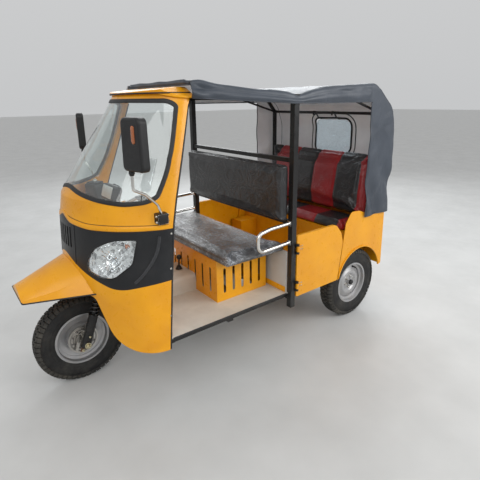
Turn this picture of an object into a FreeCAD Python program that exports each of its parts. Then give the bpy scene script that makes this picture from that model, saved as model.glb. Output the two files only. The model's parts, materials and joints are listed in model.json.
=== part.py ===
import FreeCAD, Part
import math
import os
from types import SimpleNamespace

import Sketcher
from FreeCAD import Placement, Rotation, Vector

# Auto rickshaw, millimetres. X points to its left side, Y to the rear, Z up.
# The origin is on the floor, in the middle plane, halfway along the overall length.

SIZES = """
wheelbase 2000
front_axle_y -1028
tyre_outer 284
front_tyre_width 105
rear_tyre_width 115
tyre_bore 157
rim_flange 169
rim_inset 12.5
axle_radius 10
hub_radius 12
bearing_gap 0.1
pin_gap 0.05
running 0.3
shell_gap 0.8
side_half 640
side_wall 4
track_inset 85
cab_inset 40
shell_wall 4
glass_wall 5
screen_half 492
brow_reach 24
brow_seat 30
cap_top 1826
cap_rear -358
beak_wall 4
wheel_room 44
bulkhead_wall 4
column_half 168
column_rear -585
floor_lift 143
floor_wall 6
floor_inset 33
tunnel_half 150
tunnel_rise 123
post_size 40
post_inset 23
post_y 256.5
post_low 318
bar_size 28
partition_top 1375
partition_low 925
box_half 420
box_front -238
box_rear 193
box_top 734
box_wall 3
seat_half 585
seat_front -270
seat_rear 234
seat_top 797
pad_inset 40
pad_low 950
pad_high 1335
pad_depth 70
armrest_tube 12.5
armrest_front -45
armrest_high 925
armrest_low 790
arch_shift 28
arch_lift 51
arch_tuck 22
arch_lip 10
tub_reach 295
tub_low 383
tub_shoulder 868
door_front 286
door_top 846
door_low 390
door_reach 222
door_notch_z 690
door_thick 22
door_skin 5
door_rim 26
door_gap 7
hinge_out 14
hinge_y 281.5
hinge_pin 4
hinge_knuckle 9
knuckle_height 40
hinge_inset 90
bench_top 745
bench_front_gap 160
bench_inner 470
bench_wall 4
housing_reach 345
housing_room 25
bench_seat_half 580
bench_seat_top 815
backrest_top 1320
backrest_thick 75
backrest_lean 95
canopy_proud 10
canopy_wall 5
canopy_front -390
canopy_front_inset 155
canopy_front_z 1858
canopy_dip_z 1776
canopy_dip_round 300
canopy_mid_y 500
canopy_mid_z 1822
canopy_knee_z 1848
canopy_rear_reach 348
canopy_low 850
valance_front_z 1760
valance_z 1718
window_x 30
window_half 200
window_low 1285
window_high 1560
rear_bar_z 1627
chassis_half 340
chassis_wide 40
chassis_tall 60
rake 20
fork_offset 40
fork_half 110
leg_radius 29
stanchion_radius 16
lower_yoke 528
upper_yoke 782
yoke_thick 30
stem_radius 15
head_radius 26
bar_radius 11
bar_height 905
bar_half 318
grip_length 104
grip_radius 16
drum_radius 94
axle_tube 24
mirror_arm_radius 7
mirror_wide 160
mirror_tall 254
arm_seat 45
"""

# Levels of the nose shell, from its foot to its head: height, how far each side stands in from the cab's
# half width, depth from the rear edge to the front, corner radius in plan, and the rear edge's place.
NOSE_LEVELS = """
level height narrowing depth corner rear
foot 354 0 400 262 -690
bumper 750 24 413 250 -645
waist 1080 65 450 240 -591
sill 1214 88 465 225 -553
screen 1434 125 387 210 -483
head 1800 186 238 182 -374
"""

# Cross-sections of the beak over the front wheel: place, half width and height of the lower edge,
# half width and height of the ridge, and height of the crown.
BEAK_SECTIONS = """
section place half low ridge_half ridge crown
beak_root -960 312 683 236 785 880
beak_middle -1167 222 676 175 712 800
beak_tip -1345 150 672 125 680 725
"""

# The two mirrors: side of the cab, place of the head, its turn about the upright in degrees,
# and how far the arm leans forward as it leaves its clamp.
MIRRORS = """
mirror side across place height turn lean
mirror_left 1 660 -834 1546 12 28
mirror_right -1 628 -690 1540 -16.5 5
"""


class Size(float):
    """A length that also knows the sheet formula it comes from."""

    def __new__(cls, value, text):
        item = float.__new__(cls, value)
        item.text = text
        return item

    def __add__(self, other):
        return Size(float(self) + float(other), f"({self.text} + {formula(other)})")

    def __radd__(self, other):
        return Size(float(other) + float(self), f"({formula(other)} + {self.text})")

    def __sub__(self, other):
        return Size(float(self) - float(other), f"({self.text} - {formula(other)})")

    def __rsub__(self, other):
        return Size(float(other) - float(self), f"({formula(other)} - {self.text})")

    def __mul__(self, other):
        return Size(float(self) * float(other), f"({self.text} * {formula(other)})")

    def __rmul__(self, other):
        return Size(float(other) * float(self), f"({formula(other)} * {self.text})")

    def __truediv__(self, other):
        return Size(float(self) / float(other), f"({self.text} / {formula(other)})")

    def __neg__(self):
        return Size(-float(self), f"(0 - {self.text})")


def formula(value):
    return value.text if isinstance(value, Size) else f"{float(value):.6f}"


doc = FreeCAD.newDocument("auto_rickshaw")
sheet = doc.addObject("Spreadsheet::Sheet", "Sizes")
sheet_rows = []


def keep_in_sheet(name, number):
    """Write one size in the sheet and give it as a length that knows its cell."""
    sheet_rows.append(name)
    row = len(sheet_rows)
    sheet.set(f"A{row}", name)
    sheet.set(f"B{row}", number)
    sheet.setAlias(f"B{row}", name)
    return Size(float(number), f"Sizes.{name}")


def read_sizes():
    named = {}
    for line in SIZES.strip().split("\n"):
        name, number = line.split()
        named[name] = keep_in_sheet(name, number)
    return SimpleNamespace(**named)


def read_table(text):
    """Rows of a table with named columns, every number of it in the sheet."""
    heading, *lines = text.strip().split("\n")
    columns = heading.split()[1:]
    rows = []
    for line in lines:
        name, *numbers = line.split()
        cells = {}
        for column, number in zip(columns, numbers):
            cells[column] = keep_in_sheet(f"{name}_{column}", number)
        rows.append(SimpleNamespace(**cells))
    return rows


d = read_sizes()
nose_levels = read_table(NOSE_LEVELS)
beak_sections = read_table(BEAK_SECTIONS)
mirrors = read_table(MIRRORS)
doc.recompute()

# Places that follow from the driving sizes

d.rear_axle_y = d.front_axle_y + d.wheelbase
d.cab_half = d.side_half - d.cab_inset
d.post_x = d.side_half - d.post_inset
d.hinge_x = d.side_half + d.hinge_out
d.pad_half = d.side_half - d.pad_inset
d.floor_top = d.tyre_outer + d.floor_lift
d.post_front = d.post_y - d.post_size / 2
d.post_rear = d.post_y + d.post_size / 2
d.floor_half = d.side_half - d.floor_inset
d.track_half = d.side_half - d.track_inset
d.arch_y = d.rear_axle_y + d.arch_shift
d.arch_z = d.tyre_outer + d.arch_lift
d.arch_radius = d.tyre_outer - d.arch_tuck
d.tub_rear = d.arch_y + d.tub_reach
d.rail_end = d.tub_rear - 25
d.bench_front = d.arch_y - d.bench_front_gap
d.housing_front = d.arch_y - d.housing_reach
d.housing_top = d.arch_z + d.arch_radius + d.housing_room
d.door_rear = d.arch_y - d.door_reach
d.bulkhead_y = d.front_axle_y + d.tyre_outer + d.wheel_room
d.floor_front = d.bulkhead_y + 5 * d.bulkhead_wall
d.chassis_front = d.bulkhead_y + 10
d.frame_high = d.floor_top - d.floor_wall
d.frame_low = d.frame_high - d.chassis_tall
d.tunnel_top = d.floor_top + d.tunnel_rise
d.canopy_half = d.side_half + d.canopy_proud
d.canopy_front_half = d.cab_half - d.canopy_front_inset
d.canopy_dip_y = d.post_rear
d.rear_bar_y = d.arch_y + 201
for level in nose_levels:
    level.half = d.cab_half - level.narrowing

nodes = {}


# General shape makers

def bind(item, **sizes):
    """Set properties and tie those that come from the sheet to their formula."""
    for name, size in sizes.items():
        path = name.replace("__", ".")
        if "." not in path:
            setattr(item, path, float(size))
        if "." in path or isinstance(size, Size):
            item.setExpression(path, formula(size))


def move(item, x=0, y=0, z=0):
    bind(item, Placement__Base__x=x, Placement__Base__y=y, Placement__Base__z=z)
    return item


def node(item, label):
    item.Label = label
    nodes[label] = item
    return item


def box(name, x0, x1, y0, y1, z0, z1):
    """A block between two corners, every side tied to the sheet."""
    item = doc.addObject("Part::Box", name)
    bind(item, Length=x1 - x0, Width=y1 - y0, Height=z1 - z0)
    return move(item, x0, y0, z0)


def fuse(name, *items):
    item = doc.addObject("Part::MultiFuse", name)
    item.Shapes = list(items)
    return item


def shaped(name, shape):
    """A piece whose outline is worked out here from the named sizes."""
    item = doc.addObject("Part::Feature", name)
    item.Shape = shape
    return item


def body(name):
    return doc.addObject("PartDesign::Body", name)


def origin_part(owner, role):
    return next(part for part in owner.Origin.OriginFeatures if part.Role == role)


def arc_middle(start, end, radius, side):
    """The middle of the arc from start to end; side +1 has its centre on the left of the chord."""
    chord = end - start
    half = chord.Length / 2
    left = Vector(-chord.y, chord.x, 0).normalize() * side
    centre = (start + end) / 2 + left * math.sqrt(max(radius ** 2 - half ** 2, 0))
    return centre - left * radius


def sketch(owner, role, corners, offset=0.0):
    """A closed outline. Each corner is (u, v), or (u, v, radius, side) where an arc starts."""
    item = owner.newObject("Sketcher::SketchObject", owner.Name + "_outline")
    item.AttachmentSupport = (origin_part(owner, role), [""])
    item.MapMode = "FlatFace"
    bind(item, AttachmentOffset__Base__z=offset)
    points = [Vector(corner[0], corner[1], 0) for corner in corners]
    count = len(corners)
    for i, corner in enumerate(corners):
        start, end = points[i], points[(i + 1) % count]
        if len(corner) == 2:
            item.addGeometry(Part.LineSegment(start, end), False)
        else:
            middle = arc_middle(start, end, float(corner[2]), corner[3])
            item.addGeometry(Part.Arc(start, middle, end), False)
    ends = []
    for i in range(count):
        first = (item.getPoint(i, 1) - points[i]).Length < (item.getPoint(i, 2) - points[i]).Length
        ends.append((1, 2) if first else (2, 1))
    for i, corner in enumerate(corners):
        following = (i + 1) % count
        item.addConstraint(Sketcher.Constraint("Coincident", i, ends[i][1], following, ends[following][0]))
        for kind, size in zip(("DistanceX", "DistanceY"), corner):
            held = item.addConstraint(Sketcher.Constraint(kind, -1, 1, i, ends[i][0], float(size)))
            if isinstance(size, Size):
                item.setExpression(f"Constraints[{held}]", size.text)
        if len(corner) > 2:
            held = item.addConstraint(Sketcher.Constraint("Radius", i, float(corner[2])))
            if isinstance(corner[2], Size):
                item.setExpression(f"Constraints[{held}]", corner[2].text)
    return item


def rectangle(u0, u1, v0, v1, radius=None):
    if radius is None:
        return [(u0, v0), (u1, v0), (u1, v1), (u0, v1)]
    r = radius
    return [
        (u0 + r, v0), (u1 - r, v0, r, 1), (u1, v0 + r), (u1, v1 - r, r, 1),
        (u1 - r, v1), (u0 + r, v1, r, 1), (u0, v1 - r), (u0, v0 + r, r, 1),
    ]


def feature(owner, kind, profile, **sizes):
    item = owner.newObject(f"PartDesign::{kind}", f"{owner.Name}_{kind.lower()}")
    item.Profile = profile
    bind(item, **sizes)
    owner.Tip = item
    return item


def pad(owner, role, corners, start, end):
    """Material between two planes along the sketch's normal."""
    return feature(owner, "Pad", sketch(owner, role, corners, start), Length=end - start)


def pocket(owner, role, corners, start, end):
    item = feature(owner, "Pocket", sketch(owner, role, corners, start), Length=end - start)
    item.Reversed = True
    return item


def revolve(owner, corners):
    """Turn an outline, drawn as distance along the axle and radius, about the axle."""
    item = feature(owner, "Revolution", sketch(owner, "XY_Plane", corners))
    item.ReferenceAxis = (origin_part(owner, "X_Axis"), [""])
    return item


def row(owner, original, axis, count, length):
    """Repeat a feature along a straight line."""
    item = owner.newObject("PartDesign::LinearPattern", owner.Name + "_row")
    item.Originals = [original]
    item.Direction = (origin_part(owner, axis), [""])
    item.Occurrences = count
    bind(item, Length=length)
    owner.Tip = item
    return item


def round_off(owner, radius, wanted):
    """Fillet the edges of the piece so far that the test picks."""
    doc.recompute()
    tip = owner.Tip
    names = [f"Edge{i}" for i, edge in enumerate(tip.Shape.Edges, 1) if wanted(edge)]
    item = owner.newObject("PartDesign::Fillet", owner.Name + "_fillet")
    item.Base = (tip, names)
    bind(item, Radius=radius)
    owner.Tip = item
    return item


def bent_path(points, radius):
    """Straight runs joined by tangent arcs of one radius."""
    points = [Vector(*point) for point in points]
    edges = []
    start = points[0]
    for before, corner, after in zip(points, points[1:], points[2:]):
        back = (before - corner).normalize()
        ahead = (after - corner).normalize()
        half_turn = (math.pi - back.getAngle(ahead)) / 2
        reach = radius * math.tan(half_turn)
        first = corner + back * reach
        last = corner + ahead * reach
        inward = (back + ahead).normalize()
        middle = corner + inward * (radius / math.cos(half_turn) - radius)
        edges.append(Part.LineSegment(start, first).toShape())
        edges.append(Part.Arc(first, middle, last).toShape())
        start = last
    edges.append(Part.LineSegment(start, points[-1]).toShape())
    return Part.Wire(edges)


def tube(points, outer, bend=40, bore=0):
    """A bent round tube, or a bent rod when it has no bore."""
    path = bent_path(points, float(bend))
    start = path.Edges[0]
    heading = start.tangentAt(start.FirstParameter)

    def swept(radius):
        ring = Part.Wire(Part.Circle(Vector(*points[0]), heading, float(radius)).toShape())
        return path.makePipeShell([ring], True, False)

    solid = swept(outer)
    return solid.cut(swept(bore)) if bore else solid


def rod(start, end, radius):
    start, end = Vector(*start), Vector(*end)
    return Part.makeCylinder(float(radius), (end - start).Length, start, end - start)


def disc(radius, length, start, axis):
    return Part.makeCylinder(float(radius), float(length), Vector(*start), Vector(*axis))


def beam(start, end, wide, tall):
    """A straight square bar between two points, with upright sides."""
    start, end = Vector(*start), Vector(*end)
    heading = end - start
    bar = Part.makeBox(heading.Length, float(wide), float(tall), Vector(0, -wide / 2, -tall / 2))
    bar.Placement = Placement(start, Rotation(heading, Vector(), Vector(0, 0, 1), "XZY"))
    return bar


def soft_rectangle(u0, u1, v0, v1, radius):
    return [(u0, v0, radius), (u1, v0, radius), (u1, v1, radius), (u0, v1, radius)]


def slab(corners, plane, start, end, grow=0.0):
    """A solid from an outline with rounded corners: (u, v) or (u, v, corner radius)."""
    def lift(u, v):
        return {"xz": Vector(u, start, v), "yz": Vector(start, u, v), "xy": Vector(u, v, start)}[plane]

    flat = [Vector(corner[0], corner[1], 0) for corner in corners]
    edges = []
    trims = []
    for i, corner in enumerate(corners):
        here, before, after = flat[i], flat[i - 1], flat[(i + 1) % len(flat)]
        radius = float(corner[2]) if len(corner) > 2 else 0.0
        back, ahead = (before - here).normalize(), (after - here).normalize()
        half_turn = (math.pi - back.getAngle(ahead)) / 2
        reach = radius * math.tan(half_turn)
        inward = back + ahead
        bulge = here
        if radius and inward.Length > 1e-6:
            inward.normalize()
            bulge = here + inward * (radius / math.cos(half_turn) - radius)
        trims.append((here + back * reach, bulge, here + ahead * reach, radius > 0))
    for i, (first, bulge, last, rounded) in enumerate(trims):
        following = trims[(i + 1) % len(trims)][0]
        if rounded:
            bend = [lift(point.x, point.y) for point in (first, bulge, last)]
            edges.append(Part.Arc(*bend).toShape())
        if (following - last).Length > 1e-4:
            edges.append(Part.LineSegment(lift(last.x, last.y), lift(following.x, following.y)).toShape())
    face = Part.Face(Part.Wire(edges))
    if grow:
        face = face.makeOffset2D(float(grow))
    direction = {"xz": Vector(0, 1, 0), "yz": Vector(1, 0, 0), "xy": Vector(0, 0, 1)}[plane]
    return face.extrude(direction * float(end - start))


def block(x0, x1, y0, y1, z0, z1):
    return Part.makeBox(float(x1 - x0), float(y1 - y0), float(z1 - z0), Vector(x0, y0, z0))


def side_block(side, x0, x1, *rest):
    """A block given for the left side, or its twin on the right when side is -1."""
    return block(*sorted((side * x0, side * x1)), *rest)


def mirror_x(shape):
    return shape.mirror(Vector(0, 0, 0), Vector(1, 0, 0))


def joined(*shapes):
    result = shapes[0].multiFuse(list(shapes[1:])) if len(shapes) > 1 else shapes[0]
    return result.removeSplitter()


def pair(shape):
    return Part.makeCompound([shape, mirror_x(shape)])


def both_halves(corners):
    """A left half outline and its mirror image, in one run."""
    twin = [(-corner[0], *corner[1:]) for corner in reversed(corners) if float(corner[0]) != 0.0]
    return corners + twin


# Nose shell: a three-centred arch in plan, lofted between a few levels

FAR_FRONT, FAR_REAR = -1500, -250
FAR_DOWN, FAR_UP = 100, 2100


def arch(level, inset=0.0, open_rear=1.0, height=None):
    """A closed plan outline at one level: side, corner arc, front arc, corner arc, side, rear line."""
    z = level.height if height is None else height
    half, depth, corner = level.half - inset, level.depth - inset, level.corner - inset
    front_radius = ((half - corner) ** 2 + depth ** 2 - corner ** 2) / (2 * (depth - corner))
    front_centre = Vector(0, level.rear - depth + front_radius, z)
    corner_centre = Vector(half - corner, level.rear, z)
    joint = corner_centre + (corner_centre - front_centre).normalize() * float(corner)
    side = Vector(half, level.rear, z)
    spread = math.atan2(joint.y - corner_centre.y, joint.x - corner_centre.x) / 2
    bulge = corner_centre + Vector(math.cos(spread), math.sin(spread), 0) * float(corner)
    back = Vector(half, level.rear + open_rear, z)

    def flip(point):
        return Vector(-point.x, point.y, point.z)

    return Part.Wire([
        Part.LineSegment(back, side).toShape(),
        Part.Arc(side, bulge, joint).toShape(),
        Part.Arc(joint, Vector(0, level.rear - depth, z), flip(joint)).toShape(),
        Part.Arc(flip(joint), flip(bulge), flip(side)).toShape(),
        Part.LineSegment(flip(side), flip(back)).toShape(),
        Part.LineSegment(flip(back), back).toShape(),
    ])


def nose_solid(inset=0.0, open_rear=1.0):
    """The full form of the nose, its walls moved inward by the inset."""
    lofts = []
    for lower, upper in zip(nose_levels, nose_levels[1:]):
        ends = [arch(level, inset, open_rear) for level in (lower, upper)]
        lofts.append(Part.makeLoft(ends, True, True))
    return lofts[0].multiFuse(lofts[1:])


def nose_skin(wall):
    return nose_solid().cut(nose_solid(wall, 60.0))


def below(line, drop=0.0, depth=(FAR_FRONT, FAR_REAR)):
    """Everything under a line seen from the front; the line is given from its left end inward."""
    lowered = [(corner[0], corner[1] - drop, *corner[2:]) for corner in line]
    edge = lowered[0][0]
    return slab(both_halves(lowered) + [(-edge, FAR_DOWN), (edge, FAR_DOWN)], "xz", *depth)


def above(line, lift=0.0, depth=(FAR_FRONT, FAR_REAR)):
    raised = [(corner[0], corner[1] + lift, *corner[2:]) for corner in line]
    edge = raised[0][0]
    return slab(both_halves(raised) + [(-edge, FAR_UP), (edge, FAR_UP)], "xz", *depth)


def panel_foot_line():
    """Where the dark panel meets the apron."""
    side = [(d.cab_half + 60, 803), (d.cab_half - 42, 764, 60)]
    return side + [(430, 722, 160), (250, 790, 300), (0, 895, 200)]


def panel_head_line():
    """Where the dark panel meets the cowl."""
    return [(d.cab_half + 60, 1059), (260, 1059, 400), (110, 1074, 200), (0, 1114, 60)]


def header_line():
    """The crowned top edge of the windscreen's surround."""
    return [(d.cab_half + 60, 1699), (d.cab_half - 260, 1784, 120)]


def wheel_opening():
    """The arched opening in the apron that the front wheel works in."""
    line = [(d.cab_half + 80, 327), (440, 409, 245), (300, 668, 50)]
    return below(line)


def front_apron(skin):
    return skin.common(below(panel_foot_line(), d.running)).cut(wheel_opening())


def lamp_outline():
    """The left headlamp's edge seen from the front."""
    x = d.cab_half - 245
    return [
        (x - 112, 815, 30), (x - 20, 785, 80), (x + 50, 790, 60), (x + 117, 875, 50), (x + 119, 1014, 12),
        (x + 30, 1010, 150), (x - 65, 955, 90), (x - 109, 880, 60),
    ]


def lamp_prism(grow=0.0):
    return slab(lamp_outline(), "xz", FAR_FRONT, d.bulkhead_y - 10, grow)


def headlamp_panel(skin):
    panel = skin.common(above(panel_foot_line())).common(below(panel_head_line(), d.running))
    panel = panel.cut(lamp_prism()).cut(mirror_x(lamp_prism()))
    slot_pitch, slot_half, slot_low, slot_high = 34, 9, 925, 1048
    for i in range(-3, 4):
        x = i * slot_pitch
        outline = soft_rectangle(x - slot_half, x + slot_half, slot_low, slot_high, 8)
        panel = panel.cut(slab(outline, "xz", FAR_FRONT, d.bulkhead_y - 100))
    return panel


def headlights():
    """The lamp units, each filling its hole in the dark panel."""
    lamp_depth = 60
    lamp = nose_skin(lamp_depth).common(lamp_prism(-d.running))
    return pair(lamp)


def screen_outline():
    edge = d.screen_half
    return both_halves([
        (0, 1264, 400), (edge - 77, 1191, 150), (edge + 2, 1203, 35), (edge - 20, 1400, 1200),
        (edge - 81, 1757, 60),
    ])


def windscreen_surround(skin):
    surround = skin.common(above(panel_head_line())).common(below(header_line(), d.shell_gap))
    return surround.cut(slab(screen_outline(), "xz", FAR_FRONT, FAR_REAR))


def windscreen():
    return nose_skin(d.glass_wall).common(slab(screen_outline(), "xz", FAR_FRONT, FAR_REAR, -d.shell_gap))


def brow_form(sink, inset):
    """The crowned cap's outer form, lowered and drawn in for its hollow."""
    head = nose_levels[-1]
    open_rear = d.cap_rear - head.rear + 2 * sink
    plan = Part.Face(arch(head, inset, open_rear, 1700)).extrude(Vector(0, 0, 200))
    edge_z = 1785
    profile = [(-700, 1650), (-700, edge_z - sink), (-385, d.cap_top - sink, 200), (-300, d.cap_top - sink),
               (-300, 1650)]
    side_line = [(d.cab_half - 80, 1723 - sink), (d.cab_half - 270, d.cap_top - 4 - sink, 80)]
    return plan.common(slab(profile, "yz", -700, 700)).common(below(side_line))


def brow():
    """The forehead above the screen: a crowned cap whose edge stands forward as a peak."""
    cap = brow_form(0.0, -d.brow_reach).cut(brow_form(5.0, -d.brow_reach + d.brow_seat))
    return cap.common(above(header_line()))


def beak_wire(section, wall, shift, drop):
    """One cross-section of the beak: side flange, ridge, crowned top."""
    y = section.place + shift
    half, ridge_half = section.half - wall, section.ridge_half - wall
    ridge, crown, low = section.ridge - wall, section.crown - wall, section.low - drop
    left, right = Vector(-ridge_half, y, ridge), Vector(ridge_half, y, ridge)
    return Part.Wire([
        Part.LineSegment(Vector(-half, y, low), left).toShape(),
        Part.Arc(left, Vector(0, y, crown), right).toShape(),
        Part.LineSegment(right, Vector(half, y, low)).toShape(),
        Part.LineSegment(Vector(half, y, low), Vector(-half, y, low)).toShape(),
    ])


def front_fender():
    """The fixed beak over the front wheel, open below and behind."""
    wall = d.beak_wall
    outer = Part.makeLoft([beak_wire(section, 0.0, 0.0, 0.0) for section in beak_sections], True, True)
    shifts = (20, wall, wall)
    inner = Part.makeLoft([
        beak_wire(section, wall, shift, 20) for section, shift in zip(beak_sections, shifts)
    ], True, True)
    tip = beak_sections[-1]

    def plan(inset):
        corners = [(400 - inset, -900), (tip.half + 8 - inset, tip.place + inset, 45 - inset)]
        return slab(both_halves(corners), "xy", 500, 1000)

    return outer.common(plan(0.0)).cut(inner.common(plan(wall))).cut(nose_solid(-d.shell_gap, 60.0))


# Cab floor, bulkhead and seats

def floor_pan():
    """Flat floor plate with a raised tunnel and a cut-out under the seat box."""
    wall = d.floor_wall
    low = d.floor_top - wall
    round_out = 30
    plate = block(-d.floor_half, d.floor_half, d.floor_front, d.post_front - d.running, low, d.floor_top)
    engine_bay = block(-d.box_half + 60, d.box_half - 60, d.box_front + 60, d.box_rear - 40, low - 1,
                       d.floor_top + 1)
    foot_half = d.column_half - wall
    column_foot = block(-foot_half, foot_half, d.floor_front - 1, d.column_rear - wall, low - 1,
                        d.floor_top + 1)

    def ridge(inset, start, end, radius):
        top = d.tunnel_top - inset
        form = block(-d.tunnel_half + inset, d.tunnel_half - inset, start, end, low - inset, top)
        top_edges = [e for e in form.Edges if abs(e.CenterOfMass.z - top) < 0.1]
        shoulders = [e for e in top_edges if abs(e.CenterOfMass.x) > d.tunnel_half / 2]
        return form.makeFillet(float(radius), shoulders)

    outer = ridge(0.0, d.column_rear + d.running, d.box_front - d.running, round_out)
    inner = ridge(wall, d.column_rear - 10, d.box_front + 10, round_out - wall)
    return joined(plate, outer).cut(inner).cut(engine_bay).cut(column_foot)


def front_bulkhead():
    """Upright panel behind the front wheel, with the steering column's housing and the dash shelf."""
    wall = d.bulkhead_wall
    low = d.floor_top
    waist = nose_levels[2]
    top = waist.height + wall
    clear = d.shell_wall + d.shell_gap
    half = d.cab_half
    inner_half = d.column_half - wall
    panel = block(-half, half, d.bulkhead_y, d.bulkhead_y + wall, low, top)
    housing = block(-d.column_half, d.column_half, d.bulkhead_y, d.column_rear, low, top)
    shelf = Part.Face(arch(waist, clear + 2, 1.0, top - wall)).extrude(Vector(0, 0, float(wall)))
    shelf = shelf.cut(block(-half, half, d.bulkhead_y, 0, top - 10, top + 10))
    inside = block(-inner_half, inner_half, d.bulkhead_y - 1, d.column_rear - wall, low - 1, top + 1)
    well_front = -860
    well_corners = [(-inner_half, d.bulkhead_y + 1), (inner_half, d.bulkhead_y + 1),
                    (inner_half, well_front, 40), (-inner_half, well_front, 40)]
    well = slab(well_corners, "xy", top - 10, top + 10)
    room = nose_solid(clear, 200.0)
    return joined(panel.common(room), housing, shelf).cut(inside).cut(well)


def seat_box():
    """Folded steel box under the driver, with rows of upright slots in its sides and front."""
    owner = body("seat_box_body")
    wall = d.box_wall
    outline = rectangle(-d.box_half, d.box_half, d.box_front, d.box_rear)
    pad(owner, "XY_Plane", outline, d.floor_top, d.box_top)
    pocket(owner, "XY_Plane",
           rectangle(-d.box_half + wall, d.box_half - wall, d.box_front + wall, d.box_rear - wall),
           d.floor_top - 1, d.box_top - wall)
    slot_low, slot_high = d.floor_top + 55, d.box_top - 75
    slot_width, side_margin, front_margin, corner = 20, 55, 70, 9.5
    side_start = d.box_front + side_margin
    side_slot = rectangle(side_start, side_start + slot_width, slot_low, slot_high, corner)
    side = pocket(owner, "YZ_Plane", side_slot, -d.box_half - 1, d.box_half + 1)
    row(owner, side, "Y_Axis", 5, d.box_rear - d.box_front - 2 * side_margin - slot_width)
    front_slot = rectangle(-d.box_half + front_margin, -d.box_half + front_margin + slot_width, slot_low,
                           slot_high, corner)
    front = pocket(owner, "XZ_Plane", front_slot, -d.box_rear - 1, -d.box_front + 1)
    row(owner, front, "X_Axis", 8, 2 * (d.box_half - front_margin) - slot_width)
    return owner


def driver_seat():
    owner = body("driver_seat_body")
    corner, edge_radius = 45, 22
    pad(owner, "XY_Plane", rectangle(-d.seat_half, d.seat_half, d.seat_front, d.seat_rear, corner),
        d.box_top, d.seat_top)
    round_off(owner, edge_radius, lambda edge: edge.CenterOfMass.z > d.seat_top - 1)
    return owner


def driver_backrest():
    owner = body("driver_backrest_body")
    rear = d.post_front - d.running
    corner, edge_radius = 35, 20
    pad(owner, "XZ_Plane", rectangle(-d.pad_half, d.pad_half, d.pad_low, d.pad_high, corner),
        -rear, -rear + d.pad_depth)
    round_off(owner, edge_radius, lambda edge: edge.CenterOfMass.y < rear - d.pad_depth + 1)
    return owner


def armrests():
    """A hoop of round tube on each side, held by two lugs on the post."""
    x = d.post_x - 4
    root = d.post_front - d.running
    corner_z = (d.armrest_high - 10, d.armrest_low)
    ends = (d.armrest_high + 15, d.armrest_low + 14)
    path = [
        (x, root - 4, ends[0]), (x, 60, d.armrest_high + 8), (x, d.armrest_front, corner_z[0]),
        (x, d.armrest_front + 6, corner_z[1]), (x, root - 4, ends[1]),
    ]
    hoop = tube(path, d.armrest_tube, 48, d.armrest_tube - 1.5)
    lug_half, lug_depth = 17, 8
    lugs = []
    for end in ends:
        lugs.append(block(x - 12, x + lug_half, root - lug_depth, root, end - lug_half, end + lug_half))
    return pair(joined(hoop, *lugs))


# Steel frame that carries the roof and the doors

def roof_under(y):
    """Height of the cloth's inner face over the cab, at a place along the rickshaw."""
    fall = (d.canopy_front_z - d.canopy_dip_z) / (d.canopy_dip_y - d.canopy_front)
    return d.canopy_front_z - d.canopy_wall - fall * (y - d.canopy_front)


def frame_top():
    """Just under the lowest inner line of the roof, where its round lies above the dip's corner."""
    front_slope = math.atan2(d.canopy_front_z - d.canopy_dip_z, d.canopy_dip_y - d.canopy_front)
    rear_slope = math.atan2(d.canopy_mid_z - d.canopy_dip_z, d.canopy_mid_y - d.canopy_dip_y)
    reach = d.canopy_dip_round * math.tan((front_slope + rear_slope) / 2)
    lift = reach * math.sin(front_slope) - d.canopy_dip_round * (1 - math.cos(front_slope))
    return d.canopy_dip_z - d.canopy_wall - d.running + lift


def hinge_heights():
    return [d.door_low + d.hinge_inset, d.door_top - d.hinge_inset]


def door_bracket(height):
    """Two lugs and a leaf on the left post, with the pin that the door turns on."""
    lug = 16.5
    reach = d.knuckle_height / 2 + 0.5
    pin = disc(d.hinge_pin, 2 * (reach + lug), (d.hinge_x, d.hinge_y, height - reach - lug), (0, 0, 1))
    edge = d.post_x + d.post_size / 2
    foot = height - reach - lug
    pieces = [pin, block(edge - 1, edge + 3, d.post_y - 15, d.post_y + 12, foot, height + reach + lug)]
    for low in (foot, height + reach):
        pieces.append(disc(d.hinge_knuckle, lug, (d.hinge_x, d.hinge_y, low), (0, 0, 1)))
        pieces.append(block(edge - 1, d.hinge_x, d.hinge_y - 16, d.hinge_y - 4, low, low + lug))
    return joined(*pieces)


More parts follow.
